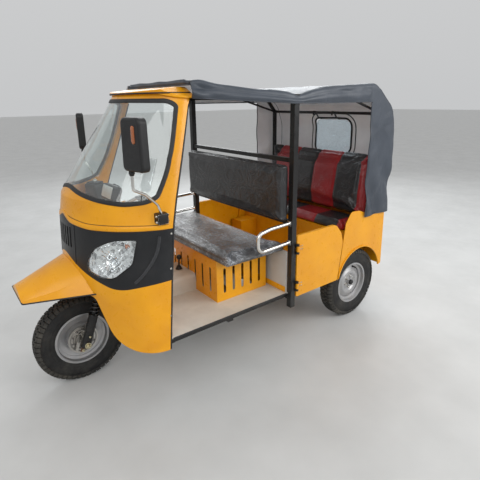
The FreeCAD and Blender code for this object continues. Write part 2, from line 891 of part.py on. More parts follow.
def canopy_frame():
    """Posts with the door hinges, cross rails, side rails, rear uprights and roof bows, all welded."""
    half, bar = d.post_size / 2, d.bar_size / 2
    top = frame_top()
    front_radius, bow_radius, brace_radius = 12, 12, 9
    front_y = d.canopy_front + d.canopy_wall + d.running + front_radius
    front_z = d.cap_top + d.running + front_radius
    front_x = d.canopy_front_half - d.canopy_wall - d.running - bar
    rail_end_y = d.rear_bar_y - 100
    bow_y = d.arch_y - 260
    pieces = [rod((-front_x, front_y, front_z), (front_x, front_y, front_z), front_radius)]
    for side in (1, -1):
        x = side * d.post_x
        head = (x, d.post_y, top - bar)
        pieces.append(block(x - half, x + half, d.post_front, d.post_rear, d.post_low, top))
        pieces.append(beam((side * front_x, front_y, roof_under(front_y) - bar - 0.5),
                           (x, d.post_y, roof_under(d.post_y) - bar - 0.5), d.bar_size, d.bar_size))
        pieces.append(block(side * front_x - bar, side * front_x + bar, front_y - front_radius,
                            front_y + front_radius, front_z - front_radius, roof_under(front_y) - 2))
        pieces.append(beam(head, (x, rail_end_y, top - bar), d.bar_size, d.bar_size))
        foot_x = x - side * 12
        elbow = (foot_x, d.rear_bar_y, d.rear_bar_z)
        pieces.append(beam((x, rail_end_y - 6, top - bar), elbow, d.bar_size - 4, d.bar_size - 4))
        pieces.append(block(foot_x - bar, foot_x + bar, d.rear_bar_y - bar, d.rear_bar_y + bar, d.bench_top,
                            d.rear_bar_z + bar))
        pieces.append(rod(elbow, (x, bow_y, top - bar), brace_radius))
        for height in hinge_heights():
            bracket = door_bracket(height)
            pieces.append(bracket if side > 0 else mirror_x(bracket))
    reach = d.post_x - half + 1
    for high in (top, d.partition_top, d.partition_low + d.bar_size):
        pieces.append(block(-reach, reach, d.post_y - bar, d.post_y + bar, high - d.bar_size, high))
    rear_reach = d.post_x - bar + 1
    pieces.append(block(-rear_reach, rear_reach, rail_end_y - bar, rail_end_y + bar, top - d.bar_size, top))
    climb = (d.canopy_knee_z - d.canopy_mid_z) / (d.arch_y + 60 - d.canopy_mid_y)
    bow_z = d.canopy_mid_z + climb * (bow_y - d.canopy_mid_y) - d.canopy_wall - d.running - bow_radius
    pieces.append(tube([(-d.post_x, bow_y, top - bar), (-d.post_x + 60, bow_y, bow_z),
                        (d.post_x - 60, bow_y, bow_z), (d.post_x, bow_y, top - bar)], bow_radius, 60))
    grab_half = d.post_x - 12
    grab_ends = [(side * grab_half, d.rear_bar_y, d.rear_bar_z) for side in (-1, 1)]
    pieces.append(rod(*grab_ends, bow_radius))
    return joined(*pieces)


def partition_board():
    """Light board that closes the cab's rear below seat height."""
    rear = d.post_front - d.running
    half = d.post_x - d.post_size / 2 - 1
    return box("partition_board_block", -half, half, rear - 10, rear, d.floor_top, d.box_top - d.running)


# Canopy

def canopy_side(t):
    """The canopy's side outline: front roof, dip at the posts, rear hood."""
    knee_y, rear = d.arch_y + 60, d.arch_y + d.canopy_rear_reach
    return [
        (d.canopy_front + t, FAR_DOWN), (d.canopy_front + t, d.canopy_front_z - t),
        (d.canopy_dip_y, d.canopy_dip_z - t, d.canopy_dip_round), (d.canopy_mid_y, d.canopy_mid_z - t, 500),
        (knee_y, d.canopy_knee_z - t, 110), (rear - 68 - t, 1680 - t, 160), (rear - t, 1500, 200),
        (rear - t, 1330, 400), (rear - 30 - t, 1150, 400), (rear - 26 - t, FAR_DOWN),
    ]


def canopy_form(t):
    """The canopy's whole form, moved inward by t: its side outline narrowed in plan over the cab."""
    far = d.arch_y + d.canopy_rear_reach + 100
    plan = both_halves([(d.canopy_half - t, far), (d.canopy_half - t, d.post_front - 10),
                        (d.canopy_front_half - t, d.canopy_front - 20)])
    return slab(canopy_side(t), "yz", -d.canopy_half, d.canopy_half).common(slab(plan, "xy", 0, FAR_UP))


def canopy():
    """A thin skin: roof, front flap, side valances, quarters and rear wall with its window hole."""
    wall, front = d.canopy_wall, d.canopy_front
    far = d.arch_y + d.canopy_rear_reach + 100
    curtain_y = d.arch_y + 10
    skin = canopy_form(0.0).cut(canopy_form(wall))
    open_side = [
        (front - 50, FAR_DOWN), (front - 50, d.valance_front_z), (d.post_y, d.valance_z),
        (curtain_y, d.valance_z), (curtain_y, d.canopy_low), (far, d.canopy_low), (far, FAR_DOWN),
    ]
    skin = skin.cut(slab(open_side, "yz", -d.canopy_half - 50, d.canopy_half + 50))
    flap_half = d.canopy_front_half - wall
    flap_low = d.cap_top + d.running
    skin = skin.cut(block(-flap_half, flap_half, front - 20, front + wall + 1, FAR_DOWN, flap_low))
    return skin.cut(window_prism())


def window_prism(grow=0.0):
    corner = 55
    low, high = d.window_low, d.window_high
    left, right = d.window_x - d.window_half, d.window_x + d.window_half
    outline = soft_rectangle(left, right, low, high, corner)
    return slab(outline, "xz", d.arch_y + 200, d.arch_y + 500, grow)


def rear_window():
    margin = 1.2
    outer, inner = canopy_form(margin), canopy_form(d.canopy_wall - margin)
    return outer.cut(inner).common(window_prism(-d.running))


# Rear body

def side_outline():
    """The quarter panel seen from the side, behind the door."""
    return [
        (d.door_rear - 45 + d.door_gap, d.tub_low, 4), (d.door_rear + d.door_gap, d.door_notch_z, 8),
        (d.arch_y - 194, 830, 40), (d.arch_y - 134, 912, 45), (d.arch_y - 40, 905, 60),
        (d.arch_y + 40, d.tub_shoulder + 8, 60), (d.tub_rear, d.tub_shoulder - 4, 12),
        (d.tub_rear + 6, d.tub_low, 12),
    ]


def rear_body():
    """Quarter panels and rear panel, in one piece, with flared wheel arches."""
    half, wall = d.side_half, d.side_wall
    outer = slab(side_outline(), "yz", -half, half)
    skin = outer.cut(block(-half + wall, half - wall, 0, d.tub_rear - wall, 0, 1500))
    skin = skin.cut(disc(d.arch_radius, 2000, (-1000, d.arch_y, d.arch_z), (1, 0, 0)))
    skin = skin.cut(block(-1000, 1000, d.arch_y - d.arch_radius, d.arch_y + d.arch_radius, 0, d.arch_z))
    lip_depth = 8
    lips = []
    for side in (1, -1):
        start = (side * half, d.arch_y, d.arch_z)
        ring = disc(d.arch_radius + d.arch_lip, lip_depth, start, (side, 0, 0))
        ring = ring.cut(disc(d.arch_radius, lip_depth, start, (side, 0, 0)))
        lips.append(ring.common(block(-1000, 1000, d.door_rear - 33, d.tub_rear, d.tub_low, 1000)))
    return joined(skin, *lips)


def passenger_floor():
    """Folded floor, wheel housings and the bench's base."""
    wall = d.bench_wall
    half = d.side_half - d.side_wall - d.running
    floor_side = d.side_half - d.door_thick - 6
    top, low = d.floor_top, d.frame_high
    between_posts = d.post_x - d.post_size / 2 - 1
    rear = d.tub_rear - d.side_wall - d.running
    pieces = [
        block(-floor_side, floor_side, d.post_rear + d.running, d.housing_front + wall, low, top),
        block(-between_posts, between_posts, d.post_front, d.post_rear + 1, low, top),
        block(-d.bench_inner, d.bench_inner, d.housing_front, d.bench_front + wall, low, top),
        block(-d.bench_inner, d.bench_inner, d.bench_front, d.bench_front + wall, low, d.bench_top),
        block(-half, half, d.bench_front, rear, d.bench_top - wall, d.bench_top),
        block(-half, half, d.bench_front, d.bench_front + wall, d.housing_top - wall, d.bench_top),
    ]
    inner = d.bench_inner - wall
    for side in (1, -1):
        pieces.append(side_block(side, inner, d.bench_inner, d.bench_front, rear, low, d.bench_top))
        pieces.append(side_block(side, inner, d.bench_inner, d.housing_front, d.bench_front + 1, low,
                                 d.housing_top))
        pieces.append(side_block(side, inner, floor_side, d.housing_front, d.housing_front + wall, low,
                                 d.housing_top))
        pieces.append(side_block(side, inner, floor_side, d.housing_front, d.bench_front + 1,
                                 d.housing_top - wall, d.housing_top))
    return joined(*pieces)


def door(side):
    """A half door: flat pressing with a folded edge, and the two knuckles it turns on."""
    outer = d.side_half
    inner = outer - d.door_thick
    rear, rim = d.door_rear, d.door_rim
    panel = slab([
        (d.door_front, d.door_low, 10), (rear - 45, d.door_low, 14), (rear, d.door_notch_z, 10),
        (rear - 24, 770, 60), (rear - 88, d.door_top, 70), (d.door_front, d.door_top, 14),
    ], "yz", inner, outer)
    hollow = slab([
        (d.door_front + rim, d.door_low + rim, 10), (rear - 45 - rim, d.door_low + rim, 14),
        (rear - rim, d.door_notch_z, 10), (rear - 48, 764, 40), (rear - 106, d.door_top - rim, 60),
        (d.door_front + rim, d.door_top - rim, 14),
    ], "yz", inner - 1, outer - d.door_skin)
    tall = d.knuckle_height
    knuckles = []
    bores = []
    for height in hinge_heights():
        low = height - tall / 2
        knuckles.append(disc(d.hinge_knuckle, tall, (d.hinge_x, d.hinge_y, low), (0, 0, 1)))
        web = (outer - d.door_skin, d.hinge_x, d.hinge_y + 5, d.hinge_y + 8)
        knuckles.append(block(*web, low, low + tall))
        knuckles.append(block(outer - 1, outer + 3, d.hinge_y + 5, d.hinge_y + 60, low, low + tall))
        bores.append(disc(d.hinge_pin + d.pin_gap, tall + 20, (d.hinge_x, d.hinge_y, low - 10), (0, 0, 1)))
    whole = joined(panel.cut(hollow), *knuckles).cut(Part.makeCompound(bores))
    return whole if side > 0 else mirror_x(whole)


def passenger_seat():
    owner = body("passenger_seat_body")
    corner, edge_radius = 40, 24
    rear = d.arch_y + 125
    pad(owner, "XY_Plane",
        rectangle(-d.bench_seat_half, d.bench_seat_half, d.bench_front - 8, rear, corner),
        d.bench_top, d.bench_seat_top)
    round_off(owner, edge_radius, lambda edge: edge.CenterOfMass.z > d.bench_seat_top - 1)
    return owner


def passenger_backrest():
    """Leaning back cushion: an upright slab sheared to the rear, in side outline."""
    owner = body("passenger_backrest_body")
    low = d.bench_seat_top + d.running
    foot = d.arch_y + 55
    thick, lean = d.backrest_thick, d.backrest_lean
    corners = [(foot, low), (foot + thick, low), (foot + thick + lean, d.backrest_top),
               (foot + lean, d.backrest_top)]
    pad(owner, "YZ_Plane", corners, -d.bench_seat_half, d.bench_seat_half)
    edge_radius = 22

    def front_or_top(edge):
        centre = edge.CenterOfMass
        on_front = centre.y < foot + lean / 2 + 2 and abs(centre.x) > d.bench_seat_half - 80
        return centre.z > d.backrest_top - 1 or on_front

    round_off(owner, edge_radius, front_or_top)
    return owner


# Running gear

def chassis_frame():
    """Two long rails, cross members, side sills and the steering head on its down tube."""
    low, high = d.frame_low, d.frame_high
    rail, front = d.chassis_half, d.chassis_front
    sill = d.post_x - d.post_size / 2
    half_wide = d.chassis_wide / 2
    pieces = []
    for x in (rail, -rail):
        pieces.append(block(x - half_wide, x + half_wide, front, d.rail_end, low, high))
    member = 20
    members = [(front + member, sill - 17), (d.box_front - member, sill), (d.post_y, sill),
               (d.arch_y - 330, rail), (d.arch_y + 240, rail)]
    for y, reach in members:
        pieces.append(block(-reach, reach, y - member, y + member, low + 15, high))
    for side in (1, -1):
        pieces.append(side_block(side, sill - 22, sill, front + 10, d.post_y, high - 30, high))
    pieces.append(rod(*head_ends(), d.head_radius))
    weld = head_point(d.lower_yoke + d.yoke_thick + 110)
    down_tube = [(0, weld[1] + 6, weld[2]), (0, front + 34, weld[2] - 150), (0, front + 30, high - 20)]
    pieces.append(tube(down_tube, 24, 60))
    return joined(*pieces).cut(rod(*head_ends(6), d.stem_radius + d.bearing_gap))


def head_point(height, forward=0.0):
    """A point at a height along the steering axis, in the rickshaw's frame."""
    rake = math.radians(d.rake)
    foot_y = d.front_axle_y + d.fork_offset * math.cos(rake)
    foot_z = d.tyre_outer - d.fork_offset * math.sin(rake)
    return (0.0, foot_y + height * math.sin(rake) - forward * math.cos(rake),
            foot_z + height * math.cos(rake) + forward * math.sin(rake))


def head_ends(extra=0.0):
    return (head_point(d.lower_yoke + d.yoke_thick + d.running - extra),
            head_point(d.upper_yoke - d.running + extra))


def leaf(y, reach, rise, low, thick, width):
    """One arched leaf: two arcs joined at its ends."""
    def point(along, up):
        return Vector(0, y + along, low + up)

    outline = Part.Wire([
        Part.Arc(point(-reach, rise), point(0, 0), point(reach, rise)).toShape(),
        Part.LineSegment(point(reach, rise), point(reach, rise + thick)).toShape(),
        Part.Arc(point(reach, rise + thick), point(0, thick), point(-reach, rise + thick)).toShape(),
        Part.LineSegment(point(-reach, rise + thick), point(-reach, rise)).toShape(),
    ])
    return Part.Face(outline).extrude(Vector(width, 0, 0))


def leaf_springs():
    """Two arched leaf packs with eyes, each clamped to the axle and hung from its rail."""
    width, thick, eye_radius = 40, 7, 17
    y = d.rear_axle_y
    seat = d.tyre_outer + d.axle_tube + d.running
    pieces = []
    for i, (reach, rise) in enumerate([(285, 36), (205, 19), (125, 7)]):
        pieces.append(leaf(y, reach, rise, seat + 20 - i * thick, thick + 0.2, width))
    eye_z = seat + 62
    hanger_top = d.frame_high - 10
    for end in (y - 292, y + 292):
        pieces.append(disc(eye_radius, width, (0, end, eye_z), (1, 0, 0)))
        pieces.append(block(0, width, end - 14, end + 14, eye_z, hanger_top))
    pieces.append(block(0, width, y - 42, y + 42, seat, seat + 30))
    pack = joined(*pieces)
    pack.translate(Vector(d.chassis_half + d.chassis_wide / 2 + d.running, 0, 0))
    return pair(pack)


def rear_axle():
    """Live axle with its differential and stub shafts, and the propeller shaft that drives it."""
    owner = body("rear_axle_body")
    end, stub = d.track_half - 62, d.track_half + 26
    half = [(stub, 0), (stub, d.hub_radius - d.bearing_gap), (end, d.hub_radius - d.bearing_gap), (end, 30),
            (end - 12, 30), (end - 12, d.axle_tube), (130, d.axle_tube), (95, 60), (70, 86)]
    twin = [(-corner[0], corner[1]) for corner in reversed(half)]
    revolve(owner, half + twin)
    move(owner, 0, d.rear_axle_y, d.tyre_outer)
    front = (0, 147.5, 330)
    nose = (0, d.rear_axle_y - 84, d.tyre_outer + 6)
    shaft = joined(rod(front, nose, 24), rod(front, (0, 180, 328), 38),
                   rod((0, d.rear_axle_y - 120, d.tyre_outer + 8), nose, 38))
    return fuse("rear_axle_with_shaft", owner, shaped("drive_shaft", shaft))


def engine():
    """The heavy mass under the driver: crankcase and cylinder kept as plain blocks, on two arms."""
    case = block(-150, 150, -165, 145, 245, 470)
    case = case.makeFillet(25, [e for e in case.Edges if e.Length > 200])
    barrel = block(-75, 75, -120, 60, 470, 620)
    arm_end = d.chassis_half - d.chassis_wide / 2 - d.running
    arm = block(148, arm_end, -60, -20, d.frame_low + 10, d.frame_low + 50)
    return joined(case, barrel, arm, mirror_x(arm))


def exhaust():
    x, y, z = -205, 400, 285
    pipe = tube([(-150 - d.running, -110, 270), (x, -110, 270), (x, 250, 262), (x, y + 20, z)], 16, 24)
    silencer = disc(52, 360, (x, y, z), (0, 1, 0))
    silencer = silencer.makeFillet(20, [e for e in silencer.Edges if e.Curve.TypeId == "Part::GeomCircle"])
    tail = tube([(x, y + 350, z + 15), (x, y + 430, z + 15), (x, y + 500, z - 23)], 14, 45)
    hanger = block(x - 8, x + 8, y + 170, y + 182, z + 40, d.frame_low + 20)
    rail_side = -d.chassis_half + d.chassis_wide / 2 + d.running
    bracket = block(rail_side, x + 8, y + 170, y + 182, d.frame_low + 8, d.frame_low + 20)
    return joined(pipe, silencer, tail, hanger, bracket)


def wheel_rim(name, tyre_width):
    """Pressed steel rim, turned about the axle; x is positive on the outer side."""
    owner = body(name)
    flange, bead = d.rim_flange, d.tyre_bore
    half = tyre_width / 2 - d.rim_inset
    outer = [
        (half, bead + 3), (half, flange), (half + 3, flange), (half + 3, bead - 1), (half - 22, bead - 6),
        (half - 28, bead - 22),
    ]
    inner = [(half - 25, bead - 2), (half - 32, bead - 18)]
    left = [(-corner[0], corner[1]) for corner in reversed(outer)]
    well = [(-corner[0], corner[1]) for corner in inner]
    revolve(owner, outer + left + well + inner[::-1])
    return owner


def wheel_tyre(name, width, shoulder):
    """Road tyre with a crowned tread and full shoulders."""
    owner = body(name)
    half, outer, bore = width / 2, d.tyre_outer, d.tyre_bore
    seat, above_flange = half - d.rim_inset - d.running, d.rim_flange + d.running
    crown, tread_half, belly = 2, half - 24, 62
    crown_radius = tread_half * tread_half / (2 * crown) + crown / 2
    corners = [
        (-seat, bore + 4), (seat, bore + 4), (seat, above_flange, 140, 1), (half, outer - belly, 70, 1),
        (half - 10, outer - shoulder, 30, 1), (tread_half, outer - crown, crown_radius, 1),
        (-tread_half, outer - crown, 30, 1), (-half + 10, outer - shoulder, 70, 1),
        (-half, outer - belly, 140, 1), (-seat, above_flange),
    ]
    revolve(owner, corners)
    return owner


def front_wheel_rim():
    """Rim, dished disc, hub, and the brake drum on its left side."""
    owner = wheel_rim("front_rim_body", d.front_tyre_width)
    bore, drum = d.axle_radius + d.bearing_gap, d.drum_radius
    edge = d.tyre_bore - 20
    revolve(owner, [
        (6, bore), (-30, bore), (-30, 40), (-16, 44), (-10, 106), (0, edge), (8, edge), (0, drum + 10),
        (-3, drum), (40, drum), (40, drum - 8), (6, drum - 8),
    ])
    return owner


def rear_wheel_rim(name):
    """Rim, dished disc with a raised ring, hub, and the brake drum behind it."""
    owner = wheel_rim(name, d.rear_tyre_width)
    bore, edge = d.hub_radius, d.tyre_bore - 20
    revolve(owner, [
        (-56, bore), (34, bore), (34, 30), (18, 32), (18, 58), (28, 74), (28, 96), (6, edge), (-2, edge),
        (20, 94), (20, 76), (8, 60), (8, 84), (-56, 84),
    ])
    return owner


# Steering, built about an upright axis and turned to the rake at the end

def in_fork(shape):
    shape.Placement = Placement(Vector(*head_point(0.0)), Rotation(Vector(1, 0, 0), -float(d.rake)))
    return shape


def fork_yokes():
    """Both yokes, the stem between them and the clamps for the handlebar."""
    x, y = d.fork_half + 34, -d.fork_offset
    front, rear = y - 34, y + 32
    plan = [(-x, front, 28), (x, front, 28), (x, rear, 28), (34, 36, 20), (-34, 36, 20), (-x, rear, 28)]
    pieces = [slab(plan, "xy", low, low + d.yoke_thick) for low in (d.lower_yoke, d.upper_yoke)]
    pieces.append(disc(d.stem_radius, d.upper_yoke - d.lower_yoke, (0, 0, d.lower_yoke), (0, 0, 1)))
    clamp_x, clamp_half, clamp_y = 45, 14, -20
    for side in (1, -1):
        across = (clamp_x - clamp_half, clamp_x + clamp_half)
        upright = (d.upper_yoke + d.yoke_thick - 1, d.bar_height + 6)
        pieces.append(side_block(side, *across, clamp_y - 16, clamp_y + 16, *upright))
    solid = joined(*pieces)
    for side in (1, -1):
        start = (side * d.fork_half, -d.fork_offset, d.lower_yoke - 20)
        solid = solid.cut(disc(d.stanchion_radius + d.pin_gap, 400, start, (0, 0, 1)))
    return solid.cut(disc(d.bar_radius + d.pin_gap, 200, (-100, clamp_y, d.bar_height - 8), (1, 0, 0)))


def fork_legs():
    """Sliders, stanchions and the wheel's spindle with its nuts."""
    y = -d.fork_offset
    slider_foot, slider_length, nut_radius, nut_thick = -24, 217, 16, 11
    pieces = []
    for side in (1, -1):
        x = side * d.fork_half
        pieces.append(disc(d.leg_radius, slider_length, (x, y, slider_foot), (0, 0, 1)))
        pieces.append(disc(d.stanchion_radius, d.upper_yoke + d.yoke_thick + 6, (x, y, 0), (0, 0, 1)))
        nut_start = (side * (d.fork_half + d.leg_radius - 1), y, 0)
        pieces.append(disc(nut_radius, nut_thick, nut_start, (side, 0, 0)))
    reach = d.fork_half + d.leg_radius + 14
    pieces.append(disc(d.axle_radius, 2 * reach, (-reach, y, 0), (1, 0, 0)))
    return joined(*pieces)


def fork_springs():
    """Sleeve form of each exposed spring and the rubber boot above it."""
    foot = 193 + d.running
    stages = [(31, 0, 130), (33, 128, 26), (27, 152, 182)]
    pieces = []
    for radius, start, length in stages:
        pieces.append(disc(radius, length, (d.fork_half, -d.fork_offset, foot + start), (0, 0, 1)))
    bore = disc(d.stanchion_radius + d.running, 500, (d.fork_half, -d.fork_offset, foot - 10), (0, 0, 1))
    return pair(joined(*pieces).cut(bore))


def brake_plate():
    """Drum brake's fixed plate with its lever, and the stay that holds it to the left leg."""
    y = -d.fork_offset
    leg_side = d.fork_half - d.leg_radius - d.running
    plate_x, plate_thick = 45, 6
    plate = disc(d.drum_radius - 1, plate_thick, (plate_x, y, 0), (1, 0, 0))
    boss = disc(24, leg_side - plate_x, (plate_x, y, 0), (1, 0, 0))
    stay = block(leg_side - 8, leg_side, y - 14, y + 14, 12, 95)
    web = block(plate_x, leg_side, y - 14, y + 14, 40, 62)
    lever_x = 66
    lever_outline = [(y - 28, 38, 8), (y - 50, 38, 8), (y - 38, -76, 7), (y - 22, -76, 7)]
    lever = slab(lever_outline, "yz", lever_x, lever_x + 6)
    cam = disc(8, lever_x + 6 - plate_x, (plate_x, y - 38, 26), (1, 0, 0))
    solid = joined(plate, boss, stay, web, lever, cam)
    return solid.cut(disc(d.axle_radius + d.running, 80, (plate_x - 10, y, 0), (1, 0, 0)))


BAR_BEND = SimpleNamespace(across=170, back=30, rise=74)
BAR_TIP = SimpleNamespace(back=62, rise=78)


def handlebar():
    half, low = float(d.bar_half), d.bar_height - 8
    bend = (BAR_BEND.across, BAR_BEND.back, low + BAR_BEND.rise)
    left = [(80, -20, low), bend, (half, BAR_TIP.back, low + BAR_TIP.rise)]
    right = [(-x, y, z) for x, y, z in reversed(left)]
    return tube(right + left, d.bar_radius, 40)


def bar_tip(side):
    return Vector(side * d.bar_half, BAR_TIP.back, d.bar_height - 8 + BAR_TIP.rise)


def bar_direction(side):
    run = Vector(side * (float(d.bar_half) - BAR_BEND.across), BAR_TIP.back - BAR_BEND.back,
                 BAR_TIP.rise - BAR_BEND.rise)
    return run.normalize()


def handlebar_controls():
    """On each side a grip, and a switch housing with its hand lever in front."""
    solids = []
    pod_length, pod_radius, overhang, lever_length = 30, 22, 4, 118
    for side in (1, -1):
        heading = bar_direction(side)
        tip = bar_tip(side)
        bore = rod(tuple(tip - heading * 200), tuple(tip), d.bar_radius + d.pin_gap)
        start = tip + heading * (overhang - float(d.grip_length))
        grip = rod(tuple(start), tuple(tip + heading * overhang), d.grip_radius)
        root = start - heading * (pod_length + 3)
        pod = rod(tuple(root), tuple(root + heading * pod_length), pod_radius)
        pivot = root + Vector(0, -34, 0) + heading * 4
        lever = rod(tuple(pivot), tuple(pivot + heading * lever_length + Vector(0, 4, -6)), 6)
        arm = rod(tuple(root + heading * 14), tuple(pivot + heading * 6), 10)
        solids.append(grip.cut(bore))
        solids.append(joined(pod, arm, lever).cut(bore))
    return Part.makeCompound(solids)


# Fittings

def mirror_arm(mirror):
    """Clamp block on the cowl and the bent arm that rises from it."""
    x, y, foot_z, top_z = d.cab_half - 68, -657, 1095, 1152
    clamp = block(x - 36, x + 16, y - 30, y + 30, foot_z, top_z).cut(nose_solid(-d.shell_gap, 60.0))
    knee = Vector(x + 13, y - mirror.lean, top_z + 56)
    turn = math.radians(mirror.turn * mirror.side)
    end = Vector(mirror.across - d.arm_seat * math.cos(turn), mirror.place - d.arm_seat * math.sin(turn),
                 mirror.height)
    bend = knee + (end - knee) * 0.5
    head_foot = mirror.height - d.mirror_tall / 2
    path = [(x, y, top_z - 6), tuple(knee), (bend.x, bend.y, 1282), (end.x, end.y, head_foot - 96),
            (end.x, end.y, head_foot + 14)]
    arm = joined(clamp, tube(path, d.mirror_arm_radius, 22))
    return arm if mirror.side > 0 else mirror_x(arm)


def mirror_head(mirror):
    """Rounded shell with its glass side to the rear; it turns on the arm's end."""
    low, half = d.mirror_tall / 2, d.mirror_wide / 2
    outline = [(-half, -low, 26), (half, -low, 26), (half - 6, low, 30), (-half + 6, low, 30)]
    head = slab(outline, "xz", -26, 20)
    head = head.makeFillet(14, [e for e in head.Edges if abs(e.CenterOfMass.y + 26) < 0.5])
    bore = disc(d.mirror_arm_radius + d.running, 30, (-mirror.side * d.arm_seat, 0, -low - 14), (0, 0, 1))
    head = head.cut(bore)
    place = Vector(mirror.side * mirror.across, mirror.place, mirror.height)
    head.Placement = Placement(place, Rotation(Vector(0, 0, 1), float(mirror.turn)))
    return head


def tail_lamps():
    """Upright lamp blocks on the rear panel."""
    half, low, high, depth, corner = 45, 660, 800, 34, 12
    x = d.side_half - 95
    outline = soft_rectangle(x - half, x + half, low, high, corner)
    lamp = slab(outline, "xz", d.tub_rear - 5, d.tub_rear + depth)
    body_form = slab(side_outline(), "yz", -d.side_half, d.side_half, d.running)
    return pair(lamp.cut(body_form))


def rear_bumper():
    """Tube bumper on two flat arms that bolt to the chassis rails' ends."""
    rail_end = d.rail_end + d.running
    bar_y, bar_z, half = d.tub_rear + 34, 345, d.side_half - 120
    left_end = [(-half, bar_y - 34, bar_z), (-half, bar_y, bar_z)]
    right_end = [(half, bar_y, bar_z), (half, bar_y - 34, bar_z)]
    bar = tube(left_end + right_end, 16, 22)
    arms = []
    for side in (1, -1):
        x = side * d.chassis_half
        arms.append(block(x - 18, x + 18, rail_end, bar_y - 6, bar_z - 7, bar_z + 7))
        arms.append(block(x - 18, x + 18, rail_end, rail_end + 6, bar_z - 7, d.frame_high))
    return joined(bar, *arms)


def gear_lever():
    y, foot = -290, d.tunnel_top + d.running
    stick = rod((0, y, foot + 4), (30, y - 10, foot + 95), 6)
    boot = Part.makeCone(26, 12, 26, Vector(0, y, foot))
    knob = Part.makeSphere(19, Vector(32, y - 11, foot + 104))
    return joined(stick, boot, knob)


# Every piece in its node

def shaped_nodes():
    skin = nose_skin(d.shell_wall)
    return {
        "front_apron": front_apron(skin),
        "headlamp_panel": headlamp_panel(skin),
        "headlights": headlights(),
        "windscreen_surround": windscreen_surround(skin),
        "windscreen": windscreen(),
        "brow": brow(),
        "front_fender": front_fender(),
        "floor_pan": floor_pan(),
        "front_bulkhead": front_bulkhead(),
        "armrests": armrests(),
        "canopy_frame": canopy_frame(),
        "canopy": canopy(),
        "rear_window": rear_window(),
        "rear_body": rear_body(),
        "passenger_floor": passenger_floor(),
        "door_left": door(1),
        "door_right": door(-1),
        "chassis_frame": chassis_frame(),
        "leaf_springs": leaf_springs(),
        "engine": engine(),
        "exhaust": exhaust(),
        "mirror_arms": Part.makeCompound([mirror_arm(mirror) for mirror in mirrors]),
        "mirror_heads": Part.makeCompound([mirror_head(mirror) for mirror in mirrors]),
        "tail_lamps": tail_lamps(),
        "rear_bumper": rear_bumper(),
        "gear_lever": gear_lever(),
        "fork_yokes": in_fork(fork_yokes()),
        "fork_legs": in_fork(fork_legs()),
        "fork_springs": in_fork(fork_springs()),
        "brake_plate": in_fork(brake_plate()),
        "handlebar": in_fork(handlebar()),
        "handlebar_controls": in_fork(handlebar_controls()),
    }


def build_nodes():
    for label, shape in shaped_nodes().items():
        node(shaped(label + "_piece", shape), label)
    cab_items = (seat_box, driver_seat, driver_backrest, partition_board)
    for make in cab_items + (passenger_seat, passenger_backrest, rear_axle):
        node(make(), make.__name__)
    front = (0, d.front_axle_y, d.tyre_outer)
    front_shoulder, rear_shoulder = 22, 17
    node(move(front_wheel_rim(), *front), "front_rim")
    node(move(wheel_tyre("front_tyre_body", d.front_tyre_width, front_shoulder), *front), "front_tyre")
    for label, side in (("left", 1), ("right", -1)):
        place = (side * d.track_half, d.rear_axle_y, d.tyre_outer)
        rim = rear_wheel_rim(f"rear_rim_{label}_body")
        if side < 0:
            rim.Placement = Placement(Vector(), Rotation(Vector(0, 0, 1), 180))
        node(move(rim, *place), f"rear_rim_{label}")
        tyre = wheel_tyre(f"rear_tyre_{label}_body", d.rear_tyre_width, rear_shoulder)
        node(move(tyre, *place), f"rear_tyre_{label}")


def check_and_write():
    doc.recompute()
    for item in doc.Objects:
        if "Invalid" in item.State or "Error" in item.State:
            raise RuntimeError(f"{item.Label} failed: {item.State}")
    for item in doc.Objects:
        if item.TypeId == "PartDesign::Pocket":
            if item.Shape.Volume >= item.BaseFeature.Shape.Volume - 0.01:
                raise RuntimeError(f"{item.Label} cuts nothing")
    for label, item in nodes.items():
        shape = item.Shape
        if shape.isNull() or not shape.isValid() or not shape.Solids:
            raise RuntimeError(f"{label} has no sound shape")
    os.makedirs("parts", exist_ok=True)
    for label, item in nodes.items():
        item.Shape.exportStep(f"parts/{label}.step")
        print(f"{label}: {len(item.Shape.Solids)} solid(s), {item.Shape.Volume / 1e6:.3f} litres")


build_nodes()
check_and_write()
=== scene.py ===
import json
from itertools import product
from math import atan2, cos, exp, hypot, pi, radians, sin, tan

import bmesh
import bpy
import numpy as np
from mathutils import Matrix, Vector, noise
from mathutils.bvhtree import BVHTree


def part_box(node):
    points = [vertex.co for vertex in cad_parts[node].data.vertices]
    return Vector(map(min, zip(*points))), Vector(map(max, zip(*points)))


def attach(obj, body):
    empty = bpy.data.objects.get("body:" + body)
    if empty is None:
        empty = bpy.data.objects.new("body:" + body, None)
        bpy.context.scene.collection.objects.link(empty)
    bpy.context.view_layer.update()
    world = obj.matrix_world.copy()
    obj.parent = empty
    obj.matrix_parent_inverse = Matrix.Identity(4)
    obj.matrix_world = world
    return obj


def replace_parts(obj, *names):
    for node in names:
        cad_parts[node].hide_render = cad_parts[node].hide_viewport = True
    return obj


# Auto rickshaw, metres. X points to its left side, Y to the rear, Z up.

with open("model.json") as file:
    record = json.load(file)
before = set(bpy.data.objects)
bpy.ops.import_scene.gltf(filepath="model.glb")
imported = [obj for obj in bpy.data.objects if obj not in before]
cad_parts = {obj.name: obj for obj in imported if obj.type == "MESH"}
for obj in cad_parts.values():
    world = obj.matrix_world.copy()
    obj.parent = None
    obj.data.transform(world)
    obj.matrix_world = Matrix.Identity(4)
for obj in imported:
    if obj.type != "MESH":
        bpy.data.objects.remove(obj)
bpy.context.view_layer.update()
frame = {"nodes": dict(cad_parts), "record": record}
nodes = frame["nodes"]

FORK_FOOT = Vector((0, -0.99041, 0.27032))
FORK_RAKE = radians(20)
FORK_HALF = 0.110
CANOPY_HALF = 0.650
SIDES = {1: "left", -1: "right"}


# Helpers for outlines and meshes

